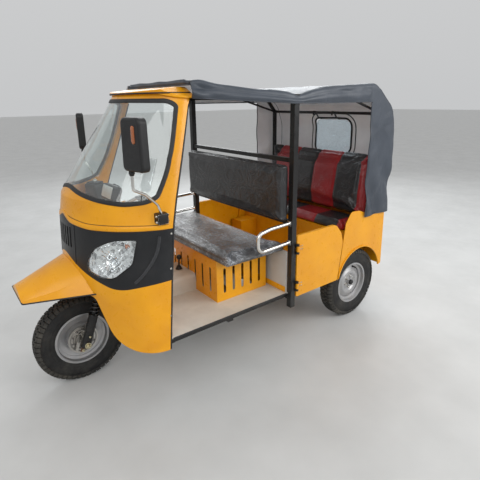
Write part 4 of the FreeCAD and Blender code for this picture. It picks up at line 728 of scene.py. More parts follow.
def make_canopy_trim(cloth):
    """Rolled hems and rear corner piping, which follow the cloth."""
    hem, piping, front_hem = 0.0042, 0.0034, 0.0035
    made = []

    def sewn(name, points, radius=hem, on_cloth=True):
        run = [cloth.find_nearest(Vector(p))[0] for p in points] if on_cloth else points
        made.append(rod(name, "canopy_cloth", run, radius))

    for side, tag in SIDES.items():
        valance = [(side * canopy_half(y), y, valance_height(y)) for y in np.linspace(-0.386, 1.008, 110)]
        sewn(f"canopy_hem_{tag}", valance)
        curtain = [(side * CANOPY_HALF, CURTAIN_Y, z) for z in np.linspace(1.712, 0.856, 60)]
        foot = [(side * CANOPY_HALF, y, CURTAIN_LOW) for y in np.linspace(1.014, 1.318, 24)]
        sewn(f"curtain_hem_{tag}", curtain + foot)
        corner = [(side * CANOPY_HALF, p.x, p.y) for p in rounded(SIDE_LINE, 0.02) if p.x > 1.1]
        sewn(f"canopy_piping_{tag}", corner, piping)
    sewn("canopy_hem_rear", [(x, 1.320, CURTAIN_LOW) for x in np.linspace(-0.646, 0.646, 60)])
    sewn("canopy_hem_front", [(x, -0.3905, FLAP_LOW) for x in np.linspace(-0.44, 0.44, 50)], front_hem, False)
    return made


def window_outline(grow, step=0.008):
    (x0, z0), (x1, z1), corner = WINDOW
    corners = [(x0 - grow, z0 - grow), (x1 + grow, z0 - grow), (x1 + grow, z1 + grow), (x0 - grow, z1 + grow)]
    return rounded([(u, v, corner + grow) for u, v in corners], step, closed=True)


def make_rear_window():
    """Clear film sewn into the rear wall, slightly wavy."""
    outline, count = window_outline(0.006), 34
    centre = (Vector(WINDOW[0]) + Vector(WINDOW[1])) / 2
    bm, rings = bmesh.new(), []
    for share in np.arange(1, count + 1) / count:
        spots = [centre.lerp(p, share) for p in outline]
        swell = 0.004 * sin(pi * share)
        rings.append([(p.x, WALL_Y + swell * ripple(p.x * 7, p.y * 11, 1), p.y) for p in spots])
    bm.faces.new(add_rings(bm, rings, capped=False)[0])
    film = piece("window_sheet", bm, "window_film")
    modify(film, "SOLIDIFY", thickness=0.0008)
    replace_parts(film, "rear_window")


def make_window_binding(cloth):
    """Black binding round the film and a second sewn outline, both on the cloth's inner side."""
    lines = (("window_binding", 0.006, 0.0080, 0.003), ("window_flap_edge", 0.050, 0.0045, 0.002))
    for name, grow, radius, inset in lines:
        on_wall = [cloth.find_nearest(Vector((p.x, WALL_Y - 0.060, p.y)))[0] for p in window_outline(grow)]
        rod(name, "canopy_cloth", [p - Vector((0, inset, 0)) for p in on_wall], radius, rubber, closed=True)


def make_window_straps():
    """Two flat black straps from the rear wall, looped over the rear cross rail."""
    for i, x in enumerate((-0.075, 0.135)):
        loop = [(x, 1.316, 1.564), (x, 1.290, 1.566), (x - 0.004, 1.250, 1.584), (x - 0.006, 1.222, 1.628),
                (x - 0.006, 1.203, 1.6445), (x - 0.006, 1.186, 1.634), (x - 0.006, 1.192, 1.607)]
        run = curve_run(loop, 0.008)
        half_wide, half_thick = Vector((0.0095, 0, 0)), 0.0012
        bm, rings = bmesh.new(), []
        for p, (_, across) in zip(run, frames_along(run)):
            up = across.cross(Vector((1, 0, 0))).normalized() * half_thick
            rings.append([p - half_wide - up, p + half_wide - up, p + half_wide + up, p - half_wide + up])
        add_rings(bm, rings)
        piece(f"window_strap_{i}", bm, "canopy_cloth", rubber)


# Cushions

def pad_form(lo, hi, edge, lean=0.0):
    """A block with soft edges, optionally leaning to the rear, ready to be inflated."""
    bm = bmesh.new()
    size = Vector(hi) - Vector(lo)
    add_block(bm, (Vector(lo) + Vector(hi)) / 2, size, bevel=edge, segments=4)
    for vert in bm.verts:
        vert.co.y += lean * (vert.co.z - lo[2]) / size.z
    return mesh_from(bm, "pad_form")


def remeshed(data, voxel):
    item = placed("remesh", data)
    modify(item, "REMESH", mode="VOXEL", voxel_size=voxel, adaptivity=0.0)
    depsgraph = bpy.context.evaluated_depsgraph_get()
    made = bpy.data.meshes.new_from_object(item.evaluated_get(depsgraph), depsgraph=depsgraph)
    bpy.data.objects.remove(item)
    return made


def inflated(data, held, cap, pressure=4.0, frames=20):
    """The mesh after a short pressure simulation; held vertices stay, and none moves further than the cap."""
    scene = bpy.context.scene
    item = placed("inflating", data)
    group = item.vertex_groups.new(name="held")
    group.add([v.index for v in data.vertices if held(v.co)], 1.0, "REPLACE")
    cloth = modify(item, "CLOTH")
    values = {"quality": 5, "mass": 0.4, "tension_stiffness": 20, "compression_stiffness": 20,
              "bending_stiffness": 1.5, "use_pressure": True, "uniform_pressure_force": pressure,
              "vertex_group_mass": "held"}
    for key, value in values.items():
        setattr(cloth.settings, key, value)
    cloth.settings.effector_weights.gravity = 0
    cloth.collision_settings.use_self_collision = False
    cloth.point_cache.frame_start, cloth.point_cache.frame_end = 1, frames
    start = np.array([v.co for v in data.vertices])
    for step in range(1, frames + 1):
        scene.frame_set(step)
    shown = item.evaluated_get(bpy.context.evaluated_depsgraph_get())
    ended = np.array([v.co for v in shown.data.vertices])
    scene.frame_set(1)
    bpy.data.objects.remove(item)
    moves = ended - start
    lengths = np.linalg.norm(moves, axis=1, keepdims=True)
    moves *= np.minimum(1.0, cap / np.maximum(lengths, 1e-9))
    data.vertices.foreach_set("co", (start + moves).astype(np.float32).ravel())
    data.update()
    return data


def seams(data, lines, axis, depth, width, keep=None):
    """Presses sewn channels into a cushion where a coordinate crosses one of the lines."""
    for vert in data.vertices:
        if keep and not keep(vert.co):
            continue
        near = min(abs(vert.co[axis] - line) for line in lines)
        if near < width:
            vert.co -= vert.normal * depth * (1 - (near / width) ** 2) ** 2


def kept_inside(data, lo, hi):
    """Keeps a cushion off its neighbours."""
    for vert in data.vertices:
        for axis in range(3):
            vert.co[axis] = min(max(vert.co[axis], lo[axis]), hi[axis])


def creased(data, depth, scale, seed):
    """Small uneven creases, as stretched vinyl has."""
    for vert in data.vertices:
        x, y, z = vert.co * scale
        vert.co += vert.normal * depth * ripple(x, y * 1.6, z * 1.6 + seed)


# Where a cushion doesn't swell, within its box
HELD = {
    "base": lambda co, lo, hi: co.z < lo.z + 0.012,
    "back": lambda co, lo, hi: co.y > hi.y - 0.016,
    "slope": lambda co, lo, hi: co.y > lo.y + 0.052 + 0.095 * (co.z - lo.z) / (hi.z - lo.z),
}


def make_pad(name, node, slot, edge, shrink, hold, cap, channels, lean=0.0, cover=None, voxel=0.011):
    """A cushion from its node's box: soft block, inflation, sewn channels, creases, one subdivision."""
    lo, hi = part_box(node)
    start = lo + Vector((shrink, shrink, 0.002)), hi - Vector((shrink, lean + shrink, shrink))
    data = remeshed(pad_form(*start, edge, lean), voxel)
    data = inflated(data, lambda co: HELD[hold](co, lo, hi), cap)
    for axis, lines, depth, width, keep in channels:
        seams(data, lines, axis, depth, width, keep)
    creased(data, 0.0016, 9.0, lo.x + hi.z)
    grow = Vector((0.004,) * 3)
    kept_inside(data, lo - grow, hi + grow)
    made = piece(name, data, slot, finishes[cover or slot])
    modify(made, "SUBSURF", levels=1, render_levels=1)
    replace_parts(made, node)
    return made


def make_cushions():
    """Driver's seat and back pad, bench seat and its backrest of upright panels."""
    rim = 0.030
    make_pad("seat_cushion", "driver_seat", "black_vinyl", edge=0.018, shrink=0.004, hold="base", cap=0.024,
             channels=[(0, (-0.30, 0.0, 0.30), 0.003, 0.010, lambda co: co.z > 0.775)], cover="seat_film")
    make_pad("back_cushion", "driver_backrest", "black_vinyl", edge=0.014, shrink=0.003, hold="back",
             cap=0.012, channels=[(2, (0.950 + rim, 1.335 - rim), 0.003, 0.010, lambda co: co.y < 0.20)])
    edges = (-0.46, -0.215, 0.03, 0.28, 0.51)
    make_pad("bench_cushion", "passenger_seat", "red_vinyl", edge=0.020, shrink=0.006, hold="base", cap=0.024,
             channels=[(0, edges, 0.006, 0.014, lambda co: co.z > 0.76)])
    make_pad("bench_backrest", "passenger_backrest", "red_vinyl", edge=0.020, shrink=0.006, hold="slope",
             cap=0.026, channels=[(0, edges, 0.010, 0.016, None)], lean=0.085)


# Nose: height, half width, depth, corner radius and rear edge of its levels

NOSE_LEVELS = (
    (0.354, 0.600, 0.400, 0.262, -0.690), (0.750, 0.576, 0.413, 0.250, -0.645),
    (1.080, 0.535, 0.450, 0.240, -0.591), (1.214, 0.512, 0.465, 0.225, -0.553),
    (1.434, 0.475, 0.387, 0.210, -0.483), (1.800, 0.414, 0.238, 0.182, -0.374),
)


def nose_arch(z, half, depth, corner, rear):
    """The nose's plan outline at one level, from its left rear edge to its right one."""
    radius = ((half - corner) ** 2 + depth ** 2 - corner ** 2) / (2 * (depth - corner))
    middle, centre = Vector((0, rear - depth + radius)), Vector((half - corner, rear))
    sweep = atan2(centre.y - middle.y, centre.x - middle.x)
    left = [centre + Vector((cos(a), sin(a))) * corner for a in np.linspace(0, sweep, 28)]
    front = [middle + Vector((cos(a), sin(a))) * radius for a in np.linspace(sweep, -pi - sweep, 90)]
    right = [Vector((-p.x, p.y)) for p in reversed(left)]
    return [Vector((p.x, p.y, z)) for p in left + front[1:-1] + right]


def nose_surface():
    """A search tree over the nose's outer form, without its openings."""
    bm, rings = bmesh.new(), []
    outlines = [nose_arch(*level) for level in NOSE_LEVELS]
    for low, high in zip(outlines, outlines[1:]):
        rings += [[a.lerp(b, k / 12) for a, b in zip(low, high)] for k in range(12)]
    add_rings(bm, rings + [outlines[-1]], closed_ring=False)
    bm.normal_update()
    tree = BVHTree.FromBMesh(bm)
    bm.free()
    return tree


nose = nose_surface()


def nose_at(x, z):
    """The nose's point straight behind a place in front view, or None beside it."""
    return nose.ray_cast(Vector((x, -2, z)), Vector((0, 1, 0)))[0]


def all_round(reach, steps):
    """Level directions from the right side over the front to the left side, as far as an angle in degrees."""
    angles = np.radians(np.linspace(-reach, reach, steps + 1))
    return [Vector((sin(angle), -cos(angle), 0)) for angle in angles]


def nose_line(height):
    """Points round the nose where its surface stands at a height that depends on X."""
    made = []
    for away in all_round(86, 150):
        level, place = height(0.0), None
        for _ in range(4):
            start = Vector((0, -0.58, level)) + away * 1.5
            place = nose.ray_cast(start, -away)[0]
            if place is None:
                break
            level = height(place.x)
        if place is not None:
            made.append(place)
    return made


def height_along(corners):
    """Height of a rounded line at any X, read between its points."""
    xs, zs = zip(*sorted((p.x, p.y) for p in rounded(both_halves(corners), 0.008)))
    return lambda x: float(np.interp(x, xs, zs))


band_top = height_along([(0.66, 1.059), (0.26, 1.059, 0.4), (0.11, 1.074, 0.2), (0, 1.114, 0.06)])


def make_cowl_trim():
    """The screen's seal, the cowl's lower flange, and a thin black strip along the crease above the flange as
    painted shade.
    """
    edge = 0.492
    screen = both_halves([(0, 1.264, 0.4), (edge - 0.077, 1.191, 0.15), (edge + 0.002, 1.203, 0.035),
                          (edge - 0.020, 1.400, 1.2), (edge - 0.081, 1.757, 0.06)])
    path = [nose_at(p.x, p.y) for p in rounded(screen, 0.008, closed=True)]
    bm = bmesh.new()
    strip_on(bm, nose, spread(path, 0.010, closed=True), width=0.026, rise=0.0042, closed=True)
    piece("screen_seal", bm, "black_rubber")
    bm = bmesh.new()
    line = nose_line(lambda x: band_top(x) + 0.0015)
    strip_on(bm, nose, spread(line, 0.010), width=0.025, rise=0.0034)
    piece("cowl_lower_flange", bm, "body_paint")
    crease = height_along([(0.66, 1.074), (0.457, 1.089, 0.3), (0.25, 1.090, 0.3), (0.10, 1.107, 0.1),
                           (0, 1.125, 0.05)])
    # A thin black strip in the crease is painted shade: the dark line of the crease's shadow.
    bm = bmesh.new()
    strip_on(bm, nose, spread(nose_line(crease), 0.010), width=0.0032, rise=0.0006)
    piece("cowl_crease_shade", bm, "black_rubber")


def make_band_trim():
    """The dark band's ridges, its curved creases lightened as a painted highlight, and a dark sheet behind its
    slots.
    """
    bm, creases = bmesh.new(), bmesh.new()
    crescent = ((1.028, -0.687), (0.985, -0.697), (0.942, -0.711), (0.897, -0.736), (0.857, -0.765),
                (0.809, -0.803), (0.782, -0.831))
    heights = np.linspace(0.835, band_top(0.150) - 0.006, 26)
    for side in SIDES:
        run = [nose_at(side * 0.150, z) for z in heights]
        strip_on(bm, nose, run, width=0.010, rise=0.0022)
        spots = [nose.ray_cast(Vector((side * 2, y, z)), Vector((-side, 0, 0)))[0] for z, y in crescent]
        strip_on(creases, nose, curve_run(spots, 0.008), width=0.020, rise=0.0080)
    piece("band_ridges", bm, "panel_paint")
    # The creases' colour is lighter than the band's: a painted highlight, with a glossier finish.
    gloss = plain_gloss("crease_highlight", (0.022, 0.023, 0.026), (0.030, 0.031, 0.034), rough=0.14,
                        grain="moulded")
    piece("band_creases", creases, "panel_paint", gloss)
    # A dark sheet behind the slots keeps them dark inside.
    bm, rings = bmesh.new(), []
    for z in np.linspace(0.915, 1.056, 8):
        rings.append([nose_at(x, z) + Vector((0, 0.014 + 0.002 * cos(x * 180), 0))
                      for x in np.linspace(-0.130, 0.130, 60)])
    add_rings(bm, rings, closed_ring=False)
    dark_sheet = piece("slot_dark_sheet", bm, "black_plastic")
    modify(dark_sheet, "SOLIDIFY", thickness=0.002)


def make_edge_rubbers():
    """Black rubber along the nose's rear edges, the brow's lip and the beak's lower edge."""
    line = [(0.598, -0.690, 0.358), (0.5755, -0.645, 0.750), (0.5345, -0.591, 1.080), (0.5115, -0.553, 1.214),
            (0.4745, -0.483, 1.434), (0.4230, -0.396, 1.725)]
    bm = bmesh.new()
    for side in SIDES:
        add_tube(bm, spread([(side * x, y + 0.001, z) for x, y, z in line], 0.02), 0.0052, 8)
    piece("nose_edge_rubber", bm, "black_rubber")
    brow, middle = surface_of("brow"), Vector((0, -0.42, 1.7865))
    hits = [brow.ray_cast(middle + away * 0.8, -away)[0] for away in all_round(100, 120)]
    lip = [place for place in hits if place is not None]
    rod("brow_edge_rubber", "black_rubber", spread(lip, 0.012), 0.0045)
    beak = both_halves([(0.305, -0.985, 0.686), (0.222, -1.167, 0.679), (0.150, -1.344, 0.675)])
    rod("fender_edge_rubber", "black_rubber", spread(beak, 0.012), 0.0042)


LAMP_LINE = [
    (0.243, 0.815, 0.030), (0.335, 0.785, 0.080), (0.405, 0.790, 0.060), (0.472, 0.875, 0.050),
    (0.474, 1.014, 0.012), (0.385, 1.010, 0.150), (0.290, 0.955, 0.090), (0.246, 0.880, 0.060),
]


def lamp_grid(side, depth, rings=16, shrink=0.0):
    """Rings of points from the lamp's edge to its middle, each moved rearward by a depth."""
    outline = rounded(LAMP_LINE, 0.007, closed=True)
    centre = Vector((0.365, 0.895))
    made = []
    for k in range(rings, 0, -1):
        ring = []
        for p in outline:
            spot = centre.lerp(p, k / rings * (1 - shrink))
            place = nose_at(spot.x, spot.y)
            ring.append(Vector((side * place.x, place.y + depth(k / rings, spot), place.z)))
        made.append(ring)
    return made


def behind_lens(side, x, z, depth):
    """A place behind a headlamp's lens."""
    return Vector((side * x, nose_at(x, z).y + depth, z))


def make_lamp_insides(side, tag):
    """Round projector and bright fins in the bowl, and an amber bulb."""
    bm = bmesh.new()
    rim = [(0.006, 0.040), (0, 0.043), (-0.008, 0.043), (-0.010, 0.040), (-0.002, 0.036), (0.020, 0.020)]
    add_turned(bm, rim, behind_lens(side, 0.345, 0.865, 0.030), (side * 0.35, 1, 0), 40)
    upright, slanted = Matrix.Rotation(side * 0.08, 4, "Y"), Matrix.Rotation(-side * 0.6, 4, "Z")
    for k in range(2):
        place = behind_lens(side, 0.262 + 0.016 * k, 0.885, 0.016) + Vector((0, 0, 0.004 * k))
        add_block(bm, place, (0.005, 0.010, 0.090 - 0.02 * k), upright, 0.0015)
    for k in range(8):
        place = behind_lens(side, 0.300 + 0.019 * k, 0.941 + 0.050 * (k / 7) ** 0.8, 0.014)
        add_block(bm, place, (0.012, 0.008, 0.009), slanted, 0.002)
    piece(f"lamp_fittings_{tag}", bm, "lamp", chrome)
    bm = bmesh.new()
    bulb = [(0.004, 0.004), (0, 0.012), (-0.006, 0.016), (-0.012, 0.013), (-0.015, 0.004)]
    add_turned(bm, bulb, behind_lens(side, 0.430, 0.975, 0.026), (side * 0.5, 1, 0), 20)
    piece(f"indicator_bulb_{tag}", bm, "lamp", orange)


def make_lamps():
    """Each headlamp: clear outer lens, chrome bowl with facets, black bezel, and what stands in the bowl."""
    hollows = ((0.395, 0.955, 0.028, 0.036), (0.345, 0.865, 0.036, 0.052))

    def lens_depth(share, spot):
        return 0.0006 - 0.004 * (1 - share ** 4)

    def bowl_depth(share, spot):
        facet = 0.004 * sin(spot.x * 210) * sin(spot.y * 190)
        sunk = sum(deep * exp(-(hypot(spot.x - x, spot.y - z) / wide) ** 2) for x, z, deep, wide in hollows)
        return 0.010 + (0.016 + facet) * (1 - share ** 3) + sunk

    for side, tag in SIDES.items():
        bm = bmesh.new()
        bm.faces.new(add_rings(bm, lamp_grid(side, lens_depth), capped=False)[-1])
        modify(piece(f"lamp_lens_{tag}", bm, "lamp"), "SOLIDIFY", thickness=0.0025, offset=0)
        bm = bmesh.new()
        add_rings(bm, lamp_grid(side, bowl_depth, rings=26, shrink=0.02), capped=False)
        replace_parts(piece(f"lamp_bowl_{tag}", bm, "lamp", chrome), "headlights")
        edge = lamp_grid(side, lambda share, spot: 0.0015, rings=1)[0]
        rod(f"lamp_bezel_{tag}", "black_plastic", edge, 0.0042, closed=True)
        make_lamp_insides(side, tag)


# Mirrors: side, middle of the head, turn in degrees

MIRROR_HEADS = ((1, 0.660, -0.834, 1.546, 12.0), (-1, -0.628, -0.690, 1.540, -16.5))


def make_mirrors():
    """Glass with its bezel on the rear, an orange reflector on the front, and a ball joint below."""
    glass = [(-0.070, -0.117, 0.022), (0.070, -0.117, 0.022), (0.064, 0.117, 0.026), (-0.064, 0.117, 0.026)]
    lens = [(-0.013, -0.042, 0.012), (0.013, -0.042, 0.012), (0.013, 0.042, 0.012), (-0.013, 0.042, 0.012)]
    outline, reflector = rounded(glass, 0.006, closed=True), rounded(lens, 0.003, closed=True)
    for side, x, y, z, turn in MIRROR_HEADS:
        tag = SIDES[side]
        place = Matrix.Translation((x, y, z)) @ Matrix.Rotation(radians(turn), 4, "Z")

        def ring(share, depth):
            return [place @ Vector((p.x * share, depth, p.y * (1 - (1 - share) * 0.6))) for p in outline]

        bm = bmesh.new()
        add_rings(bm, [ring(1.0, 0.0206), ring(0.99, 0.0218), ring(0.5, 0.0221), ring(0.02, 0.0222)])
        piece(f"mirror_glass_{tag}", bm, "clear_glass", looking_glass)
        bm = bmesh.new()
        add_tube(bm, ring(1.03, 0.0205), 0.0035, 8, closed=True)
        add_turned(bm, [(-0.012, 0.010), (-0.006, 0.014), (0.006, 0.015), (0.016, 0.012), (0.020, 0.009)],
                   place @ Vector((-side * 0.045, 0, -0.140)), (0, 0, 1), 20)
        piece(f"mirror_bezel_{tag}", bm, "black_plastic")
        bm = bmesh.new()
        layers = ((1.0, -0.0250), (1.0, -0.0278), (0.86, -0.0292), (0.3, -0.0298))
        add_rings(bm, [[place @ Vector((p.x * share + side * 0.026, depth, p.y * share + 0.048))
                        for p in reflector] for share, depth in layers])
        piece(f"mirror_reflector_{tag}", bm, "lamp_red", orange)


def make_clamps():
    """Black clamp round each mirror arm's foot, fitted to the cowl, with four bolts."""
    for side, tag in SIDES.items():
        x, y, low, high = side * 0.522, -0.657, 1.095, 1.152
        bm = bmesh.new()
        add_block(bm, (x, y, (low + high) / 2), (0.056, 0.064, high - low + 0.004), None, 0.007, 3)
        for vert in bm.verts:
            spot, normal, _, _ = nose.find_nearest(vert.co)
            if (vert.co - spot).dot(outward(normal, spot)) < -0.001:
                vert.co = spot
        piece(f"clamp_{tag}", bm, "black_plastic")
        bm = bmesh.new()
        for face, z in product((-1, 1), (low + 0.012, high - 0.012)):
            add_turned(bm, [(0, 0.008), (0.002, 0.008), (0.0025, 0.006), (0.008, 0.0058), (0.009, 0.0045)],
                       (x + side * 0.010, y + face * 0.031, z), (0, face, 0), 12)
        piece(f"clamp_bolts_{tag}", bm, "bright_steel")


# Wheels: body, kind of node name, middle, outward side, tyre width, radius of the nuts' circle

HALF_TRACK, FRONT_AXLE_Y, REAR_AXLE_Y, AXLE_HEIGHT = 0.555, -1.028, 0.972, 0.284
WHEELS = (
    ("front_wheel", "front_{}", Vector((0, FRONT_AXLE_Y, AXLE_HEIGHT)), -1, 0.105, 0.070),
    ("rear_wheel_left", "rear_{}_left", Vector((HALF_TRACK, REAR_AXLE_Y, AXLE_HEIGHT)), 1, 0.115, 0.046),
    ("rear_wheel_right", "rear_{}_right", Vector((-HALF_TRACK, REAR_AXLE_Y, AXLE_HEIGHT)), -1, 0.115, 0.046),
)


def tyre_profile(half):
    """Casing section as (offset, radius): bead, bulged wall with rings, shoulder, tread base."""
    wall = [
        (half - 0.0125, 0.1615), (half - 0.0115, 0.1700), (half - 0.0075, 0.1770), (half - 0.0045, 0.1860),
        (half - 0.0020, 0.1930), (half - 0.0032, 0.1950), (half - 0.0008, 0.1980), (half, 0.2100),
        (half - 0.0004, 0.2260), (half - 0.0022, 0.2390), (half - 0.0040, 0.2410), (half - 0.0042, 0.2480),
        (half - 0.0085, 0.2600), (half - 0.0150, 0.2690), (half - 0.0240, 0.2745), (half * 0.30, 0.2762),
        (0.0, 0.2766),
    ]
    return wall + [(-x, r) for x, r in reversed(wall[:-1])]


def tread_blocks(half, tilt, count):
    """One ring of tread: two staggered middle rows, two outer rows, and lugs that run down the shoulder."""
    template = bmesh.new()
    rows = [(x, phase, 0.0205, 0.0240, 0.2805, 0.0) for x, phase in ((0.0125, 0.0), (-0.0125, 0.5))]
    for sign, phase in ((1, 0.25), (-1, 0.75)):
        rows.append((sign * (half - 0.0195), phase, 0.0170, 0.0265, 0.2783, sign * 0.26))
        rows.append((sign * (half - 0.0070), phase, 0.0250, 0.0262, 0.2630, sign * 1.02))
    pitch = 2 * pi / count
    for across, phase, wide, long, radius, lean in rows:
        turn = Matrix.Rotation(phase * pitch, 4, "X")
        spot = turn @ Vector((across, 0, radius))
        tall = 0.0068 if abs(lean) < 0.5 else 0.0095
        skew = Matrix.Rotation(tilt * (1 if across > 0 else -1), 4, "Z")
        add_block(template, spot, (wide, long, tall), turn @ Matrix.Rotation(lean, 4, "Y") @ skew, 0.0012, 1)
    template.verts.ensure_lookup_table()
    points = np.array([v.co for v in template.verts])
    faces = [[v.index for v in f.verts] for f in template.faces]
    template.free()
    all_points, all_faces = [], []
    for k in range(count):
        all_points.append(points @ np.array(Matrix.Rotation(pitch * k, 3, "X")).T)
        all_faces += [[i + k * len(points) for i in f] for f in faces]
    return np.concatenate(all_points), all_faces


def make_tyre(body, node, centre, width):
    tag, half = body.replace("_wheel", ""), width / 2
    bm = bmesh.new()
    add_turned(bm, tyre_profile(half), centre, (1, 0, 0), 120, (0, 0, 1), ring=True)
    made = piece(f"tyre_{tag}", bm, "tyre_rubber", body=body)
    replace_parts(made, node)
    points, faces = tread_blocks(half, tilt=0.08, count=52)
    data = bpy.data.meshes.new(f"tread_{tag}")
    data.from_pydata([Vector(p) + centre for p in points], [], faces)
    piece(f"tread_{tag}", data, "tyre_rubber", finishes["tread_rubber"], body=body, smooth=False)


def add_nut(bm, centre, axis, across, tall):
    """Hexagon nut with a washer and the stud's end."""
    washer = [(-0.0015, 0.78), (0, 0.78), (0.0006, 0.70)]
    nut = [(0, 0.58), (tall * 0.85, 0.58), (tall, 0.50)]
    stud = [(0, 0.30), (tall + across * 0.35, 0.30), (tall + across * 0.42, 0.24)]
    for profile, count in ((washer, 24), (nut, 6), (stud, 14)):
        add_turned(bm, [(along, across * share) for along, share in profile], centre, axis, count)


def make_wheel_fittings():
    """Six nuts and a valve on each wheel, and the rear hubs' caps."""
    nuts = 6
    for body, node, centre, out, _, ring in WHEELS:
        axis, disc = Vector((out, 0, 0)), surface_of(node.format("rim"))

        def on_rim(y, z):
            return disc.ray_cast(centre + axis * 0.3 + Vector((0, y, z)), -axis)[0]

        bm = bmesh.new()
        for k in range(nuts):
            angle = 2 * pi * k / nuts + 0.3
            add_nut(bm, on_rim(cos(angle) * ring, sin(angle) * ring), axis, 0.015, 0.011)
        piece(f"{body}_nuts", bm, "bright_steel", body=body)
        bm = bmesh.new()
        add_turned(bm, [(0.0, 0.0065), (0.010, 0.0055), (0.026, 0.0042), (0.027, 0.0052), (0.036, 0.0052),
                        (0.038, 0.003)], on_rim(0.045, 0.118) - axis * 0.002, axis, 14)
        piece(f"{body}_valve", bm, "black_rubber", body=body)
    bm = bmesh.new()
    for side in SIDES:
        add_turned(bm, [(0.0, 0.022), (0.016, 0.021), (0.022, 0.016), (0.024, 0.006)],
                   (side * (HALF_TRACK + 0.028), REAR_AXLE_Y, AXLE_HEIGHT), (side, 0, 0), 28)
    piece("hub_caps", bm, "black_steel")


# Fork, brake and handlebar

def in_fork(x, y, z):
    """A point of the steering's own frame, whose Z runs up the steering axis."""
    c, s = cos(FORK_RAKE), sin(FORK_RAKE)
    return FORK_FOOT + Vector((x, y * c + z * s, -y * s + z * c))


FORK_UP = Vector((0, sin(FORK_RAKE), cos(FORK_RAKE)))


def make_fork_details():
    """Wound springs, ribbed boots, slider rings, and the spindle's and yokes' nuts."""
    coils, boots, rings, nuts = (bmesh.new() for _ in range(4))
    turns, steps, coil_low, coil_high, coil_ring, wire = 5, 22, 0.197, 0.322, 0.0252, 0.0056
    folds, folds_low, pitch = 10, 0.350, 0.0165
    ribs = [(0.323, 0.0315), (0.326, 0.0330), (0.345, 0.0330), (0.348, 0.0300)]
    for k in range(folds):
        z = folds_low + pitch * k
        ribs += [(z, 0.0235), (z + 0.004, 0.0268), (z + 0.009, 0.0272), (z + 0.013, 0.0240)]
    ribs += [(0.518, 0.0235), (0.521, 0.0265), (0.5265, 0.0265)]
    for side in SIDES:
        x, y = side * FORK_HALF, -0.040
        foot, run = in_fork(x, y, 0), []
        for k in range(turns * steps + 1):
            angle = 2 * pi * k / steps
            z = coil_low + (coil_high - coil_low) * k / (turns * steps)
            run.append(in_fork(x + coil_ring * cos(angle), y + coil_ring * sin(angle), z))
        add_tube(coils, run, wire, 8)
        add_turned(boots, ribs, foot, FORK_UP, 32)
        for z, r in ((0.186, 0.0305), (0.004, 0.0298)):
            profile = [(z - 0.004, r - 0.003), (z - 0.002, r), (z + 0.005, r), (z + 0.007, r - 0.003)]
            add_turned(rings, profile, foot, FORK_UP, 32)
        add_nut(nuts, in_fork(x + side * 0.0385, y, 0), (side, 0, 0), 0.026, 0.013)
        add_nut(nuts, in_fork(x, y, 0.8185), FORK_UP, 0.020, 0.008)
        add_turned(nuts, [(0, 0.007), (0.006, 0.007), (0.007, 0.0055)], in_fork(x + side * 0.0285, y, 0.055),
                   (side, 0, 0), 6)
    gloss = plain_gloss("spring_gloss", (0.045, 0.045, 0.048), (0.070, 0.070, 0.072), metallic=0.7,
                        rough=0.16)
    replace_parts(piece("fork_coils", coils, "black_steel", gloss, body="steering"), "fork_springs")
    piece("fork_boots", boots, "black_rubber", body="steering")
    piece("fork_rings", rings, "black_steel", body="steering")
    piece("fork_nuts", nuts, "bright_steel", zinc, body="steering")


def make_brake_details():
    """The brake plate's raised rings and bolts, and the lever with its pivot and nut."""
    plate, lever, nut = (bmesh.new() for _ in range(3))
    hub, out = in_fork(0.0512, -0.040, 0), (1, 0, 0)
    for r in (0.084, 0.066, 0.048):
        profile = [(0, r), (0.004, r - 0.002), (0.004, r - 0.006), (0, r - 0.008)]
        add_turned(plate, profile, hub, out, 60, ring=True)
    for angle in (2.1 + 0.62 * k for k in range(7)):
        spot = hub + Vector((0.001, cos(angle) * 0.0735, sin(angle) * 0.0735))
        add_nut(plate, spot, out, 0.010, 0.006)
    piece("brake_plate_ribs", plate, "bright_steel", finishes["engine_metal"], body="steering")
    brown = plain_gloss("bronze_brown", (0.16, 0.075, 0.045), (0.11, 0.050, 0.032), metallic=0.5, rough=0.34,
                        grain="worn", depth=0.0004)
    add_block(lever, in_fork(0.0735, -0.0345, -0.018), (0.0050, 0.022, 0.116),
              Matrix.Rotation(-FORK_RAKE - 0.08, 4, "X"), 0.002)
    add_turned(lever, [(0, 0.013), (0.008, 0.012), (0.010, 0.009)], in_fork(0.074, -0.038, 0.026), out, 20)
    piece("brake_lever", lever, "black_steel", brown, body="steering")
    add_nut(nut, in_fork(0.0765, -0.031, -0.066), out, 0.013, 0.009)
    piece("brake_lever_nut", nut, "bright_steel", zinc, body="steering")


